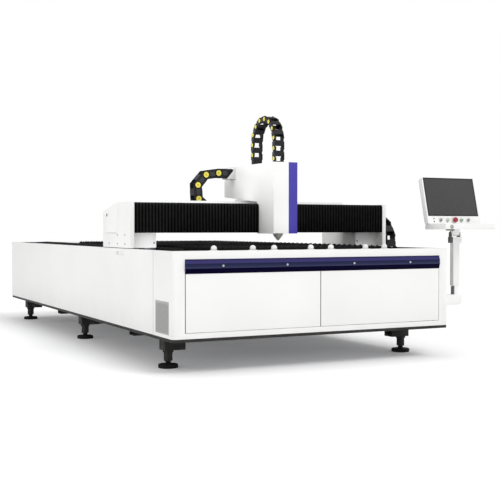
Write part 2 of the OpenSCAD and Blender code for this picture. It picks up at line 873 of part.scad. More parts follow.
module x_chain_tray() {
    low = x_bend[1] - x_bend_r - link_h / 2 - chain_floor;
    x = [motor_cover_w + 60, body_w - motor_cover_w - 60];
    y = [x_chain_y[0] - 6, x_chain_y[1] + 6];
    color(grey) place() {
        box(x, y, [low - 4, low]);
        box(x, [y[1] - 3, y[1]], [low - 4, low + 30]);
        for (i = [0:4]) {
            bx = x[0] + 40 + i * (x[1] - x[0] - 80) / 4;
            box([bx - 20, bx + 20], [beam_y[1], y[1]], [low - 20, low - 3]);
        }
    }
}

module x_cable_chain() {
    a = x_lower_run;
    color(black) place() translate([x_bend[0] + a, x_chain_y[0] + chain_w / 2, x_bend[1] - x_bend_r])
        mirror([1, 0, 0]) rotate([90, 0, 0]) chain(x_links, link_pitch, a, x_bend_r, chain_w - 4, link_h);
}

module left_y_pinion() {
    color(steel) place() translate([pinion_x, pinion_y, 0]) pinion(rail_seat, 0, car_z + car_plate + 22);
}

module right_y_pinion() {
    color(steel) place() translate([body_w - pinion_x, pinion_y, 0])
        pinion(rail_seat, 0, car_z + car_plate + 22);
}

// Head

module x_carriage() {
    color(steel) place() difference() {
        union() {
            box(plate_x, [plate_y, plate_y + plate_t], [beam_z + 20, top_plate_z + top_plate_t]);
            box(plate_x, [plate_y, x_pin_y + 140], [top_plate_z, top_plate_z + top_plate_t]);
        }
        post(head_x, x_pin_y, [top_plate_z - 1, top_plate_z + top_plate_t + 1], shaft_hole);
    }
}

module x_guide_blocks() {
    w = rail_w / 2 + rail_gap;
    y = [plate_y + plate_t, beam_y[0] - 6];
    color(steel) place() for (z = x_rail_z, x = [plate_x[0] + 4, plate_x[1] - 84]) difference() {
        box([x, x + 80], y, [z - 35, z + 35]);
        box([x - 1, x + 81], [beam_y[0] - rail_h - rail_gap, beam_y[0]], [z - w, z + w]);
    }
}

module head_cover() {
    y = [cover_y, plate_y - 5, gantry_back + 4];
    t = cover_t;
    color(white) place() difference() {
        along_x(cover_x, [
            [y[0], cover_bottom], [y[1], cover_bottom], [y[1], beam_top + 20], [y[2], beam_top + 75],
            [y[2], cover_top], [y[0], cover_top]
        ]);
        along_x([cover_x[0] + t, cover_x[1] - t], [
            [y[0] + t, cover_bottom - 9], [y[1] + 9, cover_bottom - 9], [y[1] + 9, beam_top + 5],
            [y[2] - t, beam_top + 55], [y[2] - t, cover_top - t], [y[0] + t, cover_top - t]
        ]);
        box(
            centred(z_chain_x, head_chain_w + 12), centred(z_leg_y, head_link_h + 16),
            [cover_top - t - 1, cover_top + 1]
        );
    }
}

module head_stripe() {
    x = [cover_x[1] - stripe_w, cover_x[1]];
    color(blue) place() box(x, [cover_y - stripe_t, cover_y], [cover_bottom, cover_top]);
}

module x_servo_motor() {
    color(black) place() translate([head_x, x_pin_y, 0]) servo(top_plate_z + top_plate_t, cover_top - 30);
}

module x_chain_bracket() {
    z = x_bend[1] + x_bend_r;
    e = plate_w * 3;
    low = z - link_h / 2 - 1;
    y = [x_chain_y[0] - gusset_t - 2, x_chain_y[1] + gusset_t + 2];
    color(grey) place() {
        box([cover_x[0] - 6, cover_x[0]], [x_chain_y[0] + e, x_chain_y[1] - e], [low - 1, z + link_h / 2]);
        box([cover_x[0] - 46, cover_x[0] - 5], [x_chain_y[0] + e, x_chain_y[1] - e], [z - 18, z + 18]);
        box([cover_x[0] - gusset_l, cover_x[0]], y, [low - 9, low]);
        for (g = [[y[0], y[0] + gusset_t], [y[1] - gusset_t, y[1]]])
            along_y(g, [
                [cover_x[0], low - 1], [cover_x[0], low + link_h + 8], [cover_x[0] - gusset_l, low - 1]
            ]);
    }
}

module z_actuator() {
    color(grey) place() {
        box([head_x - 78, head_x + 78], [slide_y, plate_y], [beam_z + 45 - z_down, beam_top + 35 + z_up]);
        box([head_x - 40, head_x + 40], [slide_y - 55, plate_y - 5], [beam_top + 34 + z_up, cover_top - 90]);
    }
}

module z_cable_chain() {
    a = z_leg_h + z_start;
    w = head_chain_w - 4;
    last = chain_at(z_length, a, z_bend_r);
    color(black) place() translate([z_chain_x, z_leg_y, cover_top - z_start])
        rotate([0, 0, 90]) rotate([90, 0, 0]) rotate([0, 0, 90]) mirror([0, 1, 0]) {
            chain(z_links, z_length / z_links, a, z_bend_r, w, head_link_h);
            link(last, last - [z_end - head_link_h * link_end - 0.3, 0], w, head_link_h, z_links % 2 == 1);
        }
}

module x_pinion() {
    color(steel) place() translate([head_x, x_pin_y, 0])
        pinion(beam_top, 90, top_plate_z + top_plate_t + 22);
}

module z_slide() {
    y = slide_y - slide_gap;
    color(steel) place() difference() {
        union() {
            box([head_x - 80, head_x + 80], [y - 16, y], [beam_z + 50, beam_z + 210]);
            box([head_x - 35, head_x + 35], [head_y, y - 15], [clamp_z, clamp_z + 80]);
            post(head_x, head_y, [clamp_z, clamp_z + 80], head_r + 13);
        }
        post(head_x, head_y, [clamp_z - 1, clamp_z + 81], head_r + run_gap);
    }
}

module cutting_head() {
    z = nozzle_z + nozzle_h;
    neck = clamp_z + 200;
    body_end = clamp_z + 290;
    color(grey) place() {
        translate([head_x, head_y, 0]) rotate_extrude() polygon([
            [0, z], [head_r - 5, z], [head_r - 5, z + 30], [head_r, z + 36], [head_r, neck],
            [head_r - 10, neck + 10], [head_r - 10, body_end], [0, body_end]
        ]);
        box(centred(z_chain_x, 60), centred(z_leg_y, 28), [body_end - 1, cover_top - z_start + 10]);
    }
}

module nozzle() {
    color(steel) place() translate([head_x, head_y, 0]) rotate_extrude() polygon([
        [1, nozzle_z], [6, nozzle_z], [head_r - 7, nozzle_z + nozzle_h - 8],
        [head_r - 7, nozzle_z + nozzle_h], [1, nozzle_z + nozzle_h]
    ]);
}

// Console

module tilt_pin(x, r) {
    translate([pole_x + x[0], pole_y, tilt_z]) rotate([0, 90, 0]) cylinder(r = r, h = x[1] - x[0]);
}

module console_pole() {
    color(white) place() {
        post(pole_x, pole_y, [arm_z[0] + 24, pole_z[0] + 1], 20);
        translate([pole_x, pole_y, 0]) rounded_post(pole_w, pole_d, pole_z, 8);
        translate([pole_x, pole_y, 0])
            rounded_post(coupling_w, coupling_d, [pole_z[1] - 1, tilt_z - lug_r - 8], 8);
        for (x = [[-46, -34], [34, 46]]) {
            box([pole_x + x[0], pole_x + x[1]], [pole_y - 20, pole_y + 20], [tilt_z - lug_r - 9, tilt_z]);
            tilt_pin(x, 20);
        }
        tilt_pin([-40, 40], tilt_pin_r);
    }
}

module console_shelf() {
    x = [pole_x - shelf_w / 2, pole_x + shelf_w / 2];
    z = [shelf_z, shelf_z + shelf_h];
    color(white) place() difference() {
        union() {
            box(x, shelf_y, z);
            box([pole_x - 33, pole_x + 33], [pole_y - lug_r, pole_y + lug_r], [tilt_z, shelf_z + 1]);
            tilt_pin([-33, 33], lug_r);
        }
        tilt_pin([-34, 34], tilt_pin_r + run_gap);
        box([x[0] + 14, x[1] - 14], [shelf_y[0] + 14, face_y - 20], [z[1] - 14, z[1] + 1]);
    }
}

module on_face(x, h) {
    translate([pole_x + x, face_y, face_z]) rotate([-console_lean, 0, 0]) translate([0, 0, h]) children();
}

function face_pt(d, h) = [
    face_y + d * cos(console_lean) + h * sin(console_lean),
    face_z - d * sin(console_lean) + h * cos(console_lean)
];
function face_foot(d) = [face_y + d / cos(console_lean), face_z];

module button_bores() {
    for (i = [-2:2]) on_face(i * button_pitch, button_lift) rotate([-90, 0, 0])
        translate([0, 0, -5]) cylinder(r = stem_r + run_gap, h = face_wall + 10);
}

module console_housing() {
    w = console_w / 2;
    s = shelf_w / 2 - 8;
    color(white) place() difference() {
        along_x([pole_x - w, pole_x + w], [
            face_foot(0), face_foot(console_t), face_pt(console_t, face_h - face_drop), face_pt(0, face_h)
        ]);
        along_x([pole_x - s, pole_x + s], [
            face_foot(face_wall) - [0, 1], face_foot(console_t - 4) - [0, 1],
            face_pt(console_t - 4, face_h - face_drop - 5), face_pt(face_wall, face_h - face_drop - 5)
        ]);
        on_face(-screen_w / 2, screen_lift) translate([0, -1, 0]) cube([screen_w, screen_t + 1, screen_h]);
        button_bores();
        for (z = [-12, 12]) on_face(-screen_w / 2 + 41, button_lift + z) rotate([-90, 0, 0])
            translate([0, 0, -5]) cylinder(r = 6, h = 9);
    }
}

module console_screen() {
    color(black) place() on_face(-screen_w / 2, screen_lift) cube([screen_w, screen_t, screen_h]);
}

module press_button(i, r, rise, h) {
    on_face(i * button_pitch, button_lift) rotate([90, 0, 0]) {
        translate([0, 0, -face_wall - 12]) cylinder(r = stem_r, h = face_wall + 13 + rise);
        translate([0, 0, rise]) cylinder(r = r, h = h);
    }
}

module emergency_stop() {
    color([0.7, 0.1, 0.15]) place() press_button(0, 20, 9, 14);
}

module start_button() {
    color([0.2, 0.6, 0.3]) place() press_button(1, button_r, 6, 6);
}

module reset_button() {
    color([0.5, 0.6, 0.55]) place() press_button(-1, button_r, 6, 6);
}

module turn_knob(i) {
    press_button(i, button_r, 2, 6);
    on_face(i * button_pitch, button_lift) rotate([90, 0, 0])
        box([-4, 4], [1 - button_r, button_r - 1], [7, 20]);
}

module key_switch() {
    color(black) place() turn_knob(-2);
}

module mode_selector() {
    color(grey) place() turn_knob(2);
}

side_beams();
cross_members();
left_side_panel();
right_side_panel();
rear_panel();
rear_deck();
front_cover();
front_trim();
trim_screws();
side_vent();
slats();
slat_combs();
slag_trays();
loading_balls();
y_rails();
y_racks();
foot_brackets();
foot_studs();
foot_pads();
y_chain_tray();
y_cable_chain();
console_arm();
left_door();
right_door();
gantry_beam();
gantry_end_plates();
end_plate_screws();
motor_covers();
gantry_carriages();
y_guide_blocks();
y_servo_motors();
x_rails();
x_rack();
left_bellows();
right_bellows();
x_chain_tray();
x_cable_chain();
left_y_pinion();
right_y_pinion();
x_carriage();
x_guide_blocks();
head_cover();
head_stripe();
x_servo_motor();
x_chain_bracket();
z_actuator();
z_cable_chain();
x_pinion();
z_slide();
cutting_head();
nozzle();
console_pole();
console_housing();
console_screen();
console_shelf();
emergency_stop();
start_button();
reset_button();
key_switch();
mode_selector();
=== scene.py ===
"""Looks of a flat-bed laser cutting machine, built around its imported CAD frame."""

import json
import math

import bmesh
import bpy
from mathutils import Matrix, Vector


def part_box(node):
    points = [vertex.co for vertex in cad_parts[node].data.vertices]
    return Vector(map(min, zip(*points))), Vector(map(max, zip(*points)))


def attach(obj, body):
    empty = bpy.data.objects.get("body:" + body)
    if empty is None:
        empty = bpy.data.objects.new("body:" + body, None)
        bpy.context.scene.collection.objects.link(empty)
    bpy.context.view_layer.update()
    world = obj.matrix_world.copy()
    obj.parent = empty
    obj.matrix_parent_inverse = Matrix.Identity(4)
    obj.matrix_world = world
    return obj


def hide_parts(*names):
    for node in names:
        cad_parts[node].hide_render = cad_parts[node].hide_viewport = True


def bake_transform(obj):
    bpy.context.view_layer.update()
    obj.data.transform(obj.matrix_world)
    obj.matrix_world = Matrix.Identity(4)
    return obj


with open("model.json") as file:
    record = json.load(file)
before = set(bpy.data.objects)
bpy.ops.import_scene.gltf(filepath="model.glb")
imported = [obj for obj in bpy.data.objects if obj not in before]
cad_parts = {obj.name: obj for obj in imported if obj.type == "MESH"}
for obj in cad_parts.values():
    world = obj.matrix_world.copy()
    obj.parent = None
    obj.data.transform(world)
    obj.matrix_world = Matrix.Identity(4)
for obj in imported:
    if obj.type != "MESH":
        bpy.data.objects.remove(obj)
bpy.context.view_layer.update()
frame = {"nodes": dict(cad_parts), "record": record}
NODES = frame["nodes"]
SLOT = {s["node"]: s["material_slot"] for s in frame["record"]["subparts"]}
BODY = {n: b for b, ns in frame["record"]["behaviour"]["bodies"].items() for n in ns}

# Lengths are millimetres from the front left corner of the body, at floor level. They are
# metres of the frame in materials, face tests, lamp sizes, the camera, the fill and the floor.
FRONT_LO, FRONT_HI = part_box("front_cover")
OX, OY = FRONT_LO.x * 1000, FRONT_LO.y * 1000
BODY_W = 2300.0


def at(x, y, z):
    """The frame's point at x, y, z millimetres."""
    return Vector(((x + OX) / 1000, (y + OY) / 1000, z / 1000))


def mm_box(node):
    """A node's box in millimetres."""
    lo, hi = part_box(node)
    return (
        Vector((lo.x * 1000 - OX, lo.y * 1000 - OY, lo.z * 1000)),
        Vector((hi.x * 1000 - OX, hi.y * 1000 - OY, hi.z * 1000)),
    )


def linear(r, g, b):
    """A colour of 0 to 255 as the linear one that sockets take."""

    def one(c):
        c /= 255
        return c / 12.92 if c <= 0.04045 else ((c + 0.055) / 1.055) ** 2.4

    return (one(r), one(g), one(b), 1)


# Materials

NOISE_LO, NOISE_HI = 0.3, 0.7
INPUTS = {
    "metallic": "Metallic", "spec": "Specular IOR Level", "coat": "Coat Weight",
    "coat_rough": "Coat Roughness", "roughness": "Roughness",
}


class Nodes:
    """A material's node tree with short calls for the nodes used here."""

    def __init__(self, name):
        self.mat = bpy.data.materials.new(name)
        self.mat.use_nodes = True
        self.tree = self.mat.node_tree
        self.bsdf = self.tree.nodes["Principled BSDF"]
        coords = self.tree.nodes.new("ShaderNodeTexCoord")
        self.coords = coords.outputs["Object"]
        self.normal = coords.outputs["Normal"]

    def link(self, a, b):
        self.tree.links.new(a, b)

    def feed(self, value, socket):
        """A link from another node's output, or else a constant."""
        if hasattr(value, "is_linked"):
            self.link(value, socket)
        else:
            socket.default_value = value

    def scaled(self, scale):
        m = self.tree.nodes.new("ShaderNodeMapping")
        m.inputs["Scale"].default_value = scale
        self.link(self.coords, m.inputs["Vector"])
        return m.outputs["Vector"]

    def noise(self, scale, detail, vector=None):
        n = self.tree.nodes.new("ShaderNodeTexNoise")
        n.inputs["Scale"].default_value = scale
        n.inputs["Detail"].default_value = detail
        self.link(vector or self.coords, n.inputs["Vector"])
        return n.outputs["Fac"]

    def ramp(self, fac, stops):
        r = self.tree.nodes.new("ShaderNodeValToRGB")
        el = r.color_ramp.elements
        while len(el) < len(stops):
            el.new(0.5)
        for e, (p, c) in zip(el, stops):
            e.position = p
            e.color = c
        self.link(fac, r.inputs["Fac"])
        return r.outputs["Color"]

    def between(self, fac, a, b):
        """Colours from a to b over the middle of a noise's range."""
        return self.ramp(fac, [(NOISE_LO, a), (NOISE_HI, b)])

    def mix(self, fac, a, b):
        m = self.tree.nodes.new("ShaderNodeMix")
        m.data_type = "RGBA"
        self.link(fac, m.inputs["Factor"])
        self.feed(a, m.inputs["A"])
        self.feed(b, m.inputs["B"])
        return m.outputs["Result"]

    def math(self, op, a, b=0.0):
        m = self.tree.nodes.new("ShaderNodeMath")
        m.operation = op
        self.feed(a, m.inputs[0])
        self.feed(b, m.inputs[1])
        return m.outputs[0]

    def axis(self, name, vector=None):
        s = self.tree.nodes.new("ShaderNodeSeparateXYZ")
        self.link(vector or self.coords, s.inputs[0])
        return s.outputs[name]

    def span(self, value, lo, hi):
        m = self.tree.nodes.new("ShaderNodeMapRange")
        m.inputs["From Min"].default_value = lo
        m.inputs["From Max"].default_value = hi
        self.link(value, m.inputs["Value"])
        return m.outputs["Result"]

    def bump(self, height, strength, distance):
        b = self.tree.nodes.new("ShaderNodeBump")
        b.inputs["Strength"].default_value = strength
        b.inputs["Distance"].default_value = distance
        self.link(height, b.inputs["Height"])
        self.link(b.outputs["Normal"], self.bsdf.inputs["Normal"])

    def color(self, socket):
        self.link(socket, self.bsdf.inputs["Base Color"])

    def rough(self, fac, lo, hi):
        tone = self.between(fac, (lo, lo, lo, 1), (hi, hi, hi, 1))
        self.link(tone, self.bsdf.inputs["Roughness"])

    def set(self, **values):
        for k, v in values.items():
            self.bsdf.inputs[INPUTS[k]].default_value = v


def shade(c, f):
    return (min(1, c[0] * f), min(1, c[1] * f), min(1, c[2] * f), 1)


# Sprayed paint: noise scales of its clouds, gloss and orange peel, and how the peel stands out
CLOUDS, GLOSS, PEEL = 1.7, 26, 620
PEEL_BUMP, PEEL_DEPTH = 0.05, 0.0006
# Dust on paint: heights where it begins and where it is full, share and colour
DUST_TOP, DUST_FULL, DUST_SHARE, DUST_RGB = 0.45, 0.22, 0.16, (150, 146, 140)


def clouded(n, rgb, low, high):
    """A colour that varies in faint clouds, from low to high times itself."""
    c = linear(*rgb)
    return n.between(n.noise(CLOUDS, 4), shade(c, low), shade(c, high))


def sprayed(n, rough=(0.36, 0.46), spec=0.4):
    """The gloss and orange peel of sprayed paint."""
    n.rough(n.noise(GLOSS, 2), *rough)
    n.bump(n.noise(PEEL, 2), PEEL_BUMP, PEEL_DEPTH)
    n.set(spec=spec)
    return n.mat


def powder_coat(name, rgb, rough=(0.36, 0.46), vary=0.03, spec=0.4):
    """Sprayed paint with a little dust that settles low down."""
    n = Nodes(name)
    base = clouded(n, rgb, 1 - vary, 1 + vary * 0.5)
    dust = n.math("MULTIPLY", n.span(n.axis("Z"), DUST_TOP, DUST_FULL), n.noise(9, 5))
    n.color(n.mix(n.math("MULTIPLY", dust, DUST_SHARE), base, linear(*DUST_RGB)))
    return sprayed(n, rough, spec)


def gap_shaded_door_paint(name, rgb, gap_shade_rgb, x0, x1):
    """Sprayed paint with painted shade of the gap at the door's edge: a dark strip from x0 to x1
    across the door.
    """
    n = Nodes(name)
    x = n.axis("X")
    gap_shade = n.math("MULTIPLY", n.math("GREATER_THAN", x, x0), n.math("LESS_THAN", x, x1))
    n.color(n.mix(gap_shade, clouded(n, rgb, 0.97, 1.015), linear(*gap_shade_rgb)))
    return sprayed(n)


def shaded_flanks_paint(name, rgb, flank_shade_rgb, end_shade_rgb, z0, z1):
    """A painted profile whose sideways faces take painted shade: grey, and darker still outside the
    heights z0 to z1.
    """
    n = Nodes(name)
    z = n.axis("Z")
    ends = n.math("MAXIMUM", n.math("LESS_THAN", z, z0), n.math("GREATER_THAN", z, z1))
    flank_shade = n.mix(ends, linear(*flank_shade_rgb), linear(*end_shade_rgb))
    facing = n.span(n.math("ABSOLUTE", n.axis("X", n.normal)), 0.6, 0.75)
    n.color(n.mix(facing, clouded(n, rgb, 0.97, 1), flank_shade))
    return sprayed(n, spec=0.3)


BAND_EDGE, BAND_CLOUD_RGB = 0.012, (70, 66, 120)


def trim_paint(name, bands, z0, z1, cloud=0.04, spec=0.02):
    """Satin paint in bands by height from z0 to z1, which can paint the light and shade of a
    profile: each is (share of the height where it begins, colour).
    """
    n = Nodes(name)
    ends = [start for start, _ in bands[1:]] + [1.0]
    stops = []
    for (start, rgb), end in zip(bands, ends):
        stops += [(start + BAND_EDGE, linear(*rgb)), (end - BAND_EDGE, linear(*rgb))]
    base = n.ramp(n.span(n.axis("Z"), z0, z1), stops)
    n.color(n.mix(n.math("MULTIPLY", n.noise(3, 4), cloud), base, linear(*BAND_CLOUD_RGB)))
    n.rough(n.noise(30, 2), 0.36, 0.48)
    n.bump(n.noise(PEEL, 2), PEEL_BUMP, 0.0005)
    n.set(spec=spec)
    return n.mat


def moulded(name, rgb, rough=(0.42, 0.55), spec=0.3, grain=420, bump=0.12):
    """Moulded plastic with a fine spark-eroded grain."""
    c = linear(*rgb)
    n = Nodes(name)
    n.color(n.between(n.noise(14, 4), shade(c, 0.92), shade(c, 1.08)))
    n.rough(n.noise(60, 2), *rough)
    n.bump(n.noise(grain, 3), bump, 0.0005)
    n.set(spec=spec)
    return n.mat


def brushed(name, rgb, rough=(0.26, 0.42), stretch=(6, 900, 900), metallic=1.0):
    """Ground or milled metal with fine parallel marks."""
    c = linear(*rgb)
    n = Nodes(name)
    marks = n.noise(1.0, 4, n.scaled(stretch))
    n.color(n.between(marks, shade(c, 0.86), shade(c, 1.06)))
    n.rough(marks, *rough)
    n.bump(marks, 0.06, 0.0003)
    n.set(metallic=metallic)
    return n.mat


WEAVE = 330


def coated_cloth(name, rgb):
    """Coated bellows cloth: a fine plain weave under a dull coat."""
    c = linear(*rgb)
    n = Nodes(name)
    weave = []
    for axis in ("X", "Z"):
        w = n.tree.nodes.new("ShaderNodeTexWave")
        w.bands_direction = axis
        w.inputs["Scale"].default_value = WEAVE
        w.inputs["Distortion"].default_value = 0.6
        n.link(n.coords, w.inputs["Vector"])
        weave.append(w.outputs["Fac"])
    grain = n.math("MULTIPLY", *weave)
    tone = n.ramp(n.noise(22, 5), [(0.3, shade(c, 0.75)), (0.75, shade(c, 1.35))])
    n.color(n.mix(n.math("MULTIPLY", grain, 0.25), tone, shade(c, 1.8)))
    n.rough(n.noise(40, 2), 0.7, 0.84)
    n.bump(grain, 0.25, 0.0006)
    n.set(spec=0.05)
    return n.mat


TIP_Z, TIP_RGB, SLAG_RGB = (0.852, 0.872), (72, 72, 74), (46, 42, 38)


def scorched(name, rgb):
    """Cut steel that sparks and slag have darkened, brighter on the worn tips."""
    c = linear(*rgb)
    n = Nodes(name)
    soot = n.noise(11, 6)
    stops = [(0.25, shade(c, 0.55)), (0.6, shade(c, 1.1)), (0.85, linear(*SLAG_RGB))]
    tips = n.math("MULTIPLY", n.span(n.axis("Z"), *TIP_Z), n.noise(45, 4))
    n.color(n.mix(n.math("MULTIPLY", tips, 0.7), n.ramp(soot, stops), linear(*TIP_RGB)))
    n.rough(soot, 0.5, 0.78)
    n.bump(n.noise(150, 4), 0.3, 0.0008)
    n.set(metallic=0.2, spec=0.12)
    return n.mat


def glass_panel(name, rgb):
    """A dark screen behind a faint gloss."""
    c = linear(*rgb)
    n = Nodes(name)
    n.color(n.between(n.noise(2.2, 3), shade(c, 0.9), shade(c, 1.12)))
    n.rough(n.noise(50, 3), 0.2, 0.3)
    n.set(spec=0.3, coat=0.15, coat_rough=0.12)
    return n.mat


WHITE = powder_coat("white_paint", (240, 240, 239))
WHITE_AL = powder_coat("white_aluminium", (242, 242, 241), rough=(0.34, 0.44))
# Black paint; also painted shade on the deck's side and inside the rear panel
BLACK_PAINT_AND_SHADE = powder_coat("black_paint", (22, 22, 24), rough=(0.55, 0.68), spec=0.15, vary=0.1)
GREY = powder_coat("grey_paint", (168, 169, 172), rough=(0.4, 0.52))
# The vent's grey; also painted shade of the seam at the side panel's front edge
VENT_GREY_AND_SEAM_SHADE = powder_coat("vent_grey_and_seam_shade", (171, 171, 171), rough=(0.4, 0.52))
BRACKET = powder_coat("bracket_grey", (215, 215, 215), rough=(0.4, 0.5))
# Painted shade of the gaps between the doors, on their side edges
DOOR_GAP_SHADE = powder_coat("door_edge", (36, 36, 37), rough=(0.5, 0.6), spec=0.2)
# Painted shadow line at the root of the console's arm, beside the body
ARM_ROOT_SHADE = powder_coat("arm_root_shade", (88, 88, 90), rough=(0.5, 0.6), spec=0.2)
MOTOR = powder_coat("motor_black", (36, 36, 39), rough=(0.42, 0.52), spec=0.3, vary=0.08)

TRIM_LO, TRIM_HI = (v.z / 1000 for v in mm_box("front_trim"))
# The trim's navy with the light and shade of its profile painted in by height: painted shade on the
# lower slope, paler painted light on the upper slope, a painted shadow in the groove under the top
# lip
TRIM_TONE_AND_SHADE_BANDS = [
    (0, (2, 0, 30)), (0.34, (53, 56, 84)), (0.46, (41, 45, 71)),
    (0.58, (36, 38, 71)), (0.69, (59, 56, 103)), (0.92, (36, 34, 70)),
]
TRIM = trim_paint("blue_paint", TRIM_TONE_AND_SHADE_BANDS, TRIM_LO, TRIM_HI)
STRIPE = trim_paint("stripe_paint", [(0, (72, 65, 166))], 0.9, 1.6, 0.2, 0.2)
# The sideways faces of the pole and the arm take painted shade, darker low down at the arm and high
# up at the coupling
POLE = shaded_flanks_paint("pole_paint_shaded_flanks", (241, 241, 240), (196, 196, 195), (92, 92, 93), 0.545, 0.884)

# The left door's painted gap shade runs out over its edge, and the right door's lies on the gap
# between them
GAP_SHADE_W, DOOR_RGB, GAP_SHADE_RGB = 0.0026, (240, 240, 239), (58, 58, 60)
LEFT_X, RIGHT_X = (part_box(node)[0].x for node in ("left_door", "right_door"))
GAP_SHADES = {
    "left_door": (LEFT_X - 1, LEFT_X + GAP_SHADE_W),
    "right_door": (RIGHT_X - GAP_SHADE_W, RIGHT_X + GAP_SHADE_W),
}
DOOR_MATS = {k: gap_shaded_door_paint(k + "_paint", DOOR_RGB, GAP_SHADE_RGB, *v) for k, v in GAP_SHADES.items()}

STEEL = brushed("bare_steel", (186, 188, 192))
MACHINED = brushed("machined_aluminium", (196, 198, 202), rough=(0.3, 0.46))
PALE_STEEL = brushed("pale_steel", (238, 239, 241), metallic=0.1)
LENGTHWISE = (900, 900, 60)
TURNED = brushed("nozzle_brass", (206, 204, 198), (0.4, 0.55), LENGTHWISE, metallic=0.1)
DARK_METAL = brushed("dark_metal", (74, 75, 80), (0.34, 0.5), LENGTHWISE)

CHAIN = moulded("chain_plastic", (30, 30, 33), rough=(0.5, 0.64), spec=0.22)
CHAIN_LIGHT = moulded("chain_panel", (58, 58, 62), rough=(0.5, 0.62), spec=0.22)
YELLOW = moulded("cap_yellow", (230, 222, 88), spec=0.35, rough=(0.36, 0.46))
ORANGE = moulded("cap_orange", (228, 190, 62), spec=0.35, rough=(0.36, 0.46))
BEZEL = moulded("screen_edge", (34, 34, 35), rough=(0.4, 0.5), spec=0.2)
RUBBER = moulded("black_rubber", (28, 28, 29), (0.7, 0.85), spec=0.15, grain=240, bump=0.3)
RED = moulded("red_plastic", (150, 26, 52), (0.24, 0.34), spec=0.45, bump=0.04)
GREEN = moulded("green_plastic", (140, 172, 146), (0.24, 0.34), spec=0.45, bump=0.04)
PALE_GREEN = moulded("pale_green_plastic", (168, 190, 173), (0.26, 0.36), spec=0.45, bump=0.04)
BLACK_PLASTIC = moulded("black_plastic", (160, 161, 154), rough=(0.4, 0.5))
GREY_PLASTIC = moulded("grey_plastic", (166, 168, 158), rough=(0.4, 0.5))
NYLON = moulded("white_nylon", (226, 226, 224), (0.28, 0.38), spec=0.45, bump=0.04)

CLOTH = coated_cloth("bellows_cloth", (11, 11, 12))
# A paler copy of the cloth: painted highlight for the pleats' ridges
RIDGE_HIGHLIGHT = coated_cloth("bellows_ridge_highlight", (33, 33, 34))
SLAT = scorched("slat_steel", (20, 20, 22))
SCREEN = glass_panel("screen_panel", (60, 60, 61))

BY_SLOT = {
    "white_paint": WHITE, "black_paint": BLACK_PAINT_AND_SHADE, "bare_steel": STEEL, "grey_paint": GREY,
    "blue_paint": TRIM, "motor_black": MOTOR, "black_rubber": RUBBER,
    "white_aluminium": WHITE_AL, "machined_aluminium": MACHINED, "nozzle_brass": TURNED,
    "red_plastic": RED, "green_plastic": GREEN, "pale_green_plastic": PALE_GREEN,
    "black_plastic": BLACK_PLASTIC, "grey_plastic": GREY_PLASTIC,
}
SPECIAL = {
    "slats": SLAT, "slat_combs": SLAT, "head_stripe": STRIPE, "side_vent": VENT_GREY_AND_SEAM_SHADE,
    "x_chain_bracket": BRACKET, "console_pole": POLE, "console_arm": POLE,
    "x_chain_tray": WHITE, "x_rack": PALE_STEEL, "foot_studs": BLACK_PAINT_AND_SHADE, "x_carriage": WHITE_AL,
    **DOOR_MATS,
}


def finish_of(node):
    return SPECIAL.get(node) or BY_SLOT[SLOT[node]]


# Pieces

# Angles in degrees, and the distances in metres at which points are welded
SMOOTH, FLAT, CAD_CREASE, SHAPE_CREASE = 35, 0.5, 30, 40
CAD_WELD, SHAPE_WELD = 1e-5, 1e-6


def new_object(name, bm, mats, angle=SMOOTH):
    mesh = bpy.data.meshes.new(name)
    bm.normal_update()
    bm.to_mesh(mesh)
    bm.free()
    for m in mats:
        mesh.materials.append(m)
    mesh.shade_smooth()
    mesh.set_sharp_from_angle(angle=math.radians(angle))
    obj = bpy.data.objects.new(name, mesh)
    bpy.context.scene.collection.objects.link(obj)
    return obj


def round_edges(bm, crease, bevel, segments):
    """Rounds the edges that fold by more than crease degrees."""
    fold = math.radians(crease)
    edges = [e for e in bm.edges if len(e.link_faces) == 2 and e.calc_face_angle(0) > fold]
    bmesh.ops.bevel(bm, geom=edges, offset=bevel / 1000, segments=segments, profile=0.5,
                    affect="EDGES", clamp_overlap=True)


def dress(node, bevel, second=None, where=None):
    """A copy of a CAD node with rounded edges stands for it; faces that where picks take second."""
    bm = bmesh.new()
    bm.from_mesh(NODES[node].data)
    bmesh.ops.remove_doubles(bm, verts=bm.verts, dist=CAD_WELD)
    bmesh.ops.dissolve_limit(bm, angle_limit=math.radians(FLAT), verts=bm.verts, edges=bm.edges)
    round_edges(bm, CAD_CREASE, bevel, 2)
    bm.normal_update()
    for f in bm.faces:
        f.material_index = int(bool(where and where(f)))
    obj = new_object(node + ".piece", bm, [finish_of(node)] + ([second] if second else []))
    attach(obj, BODY[node])
    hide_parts(node)


def rect(u0, u1, v0, v1):
    return [(u0, v0), (u1, v0), (u1, v1), (u0, v1)]


def circle(r, count):
    turns = [2 * math.pi * i / count for i in range(count)]
    return [(r * math.cos(a), r * math.sin(a)) for a in turns]


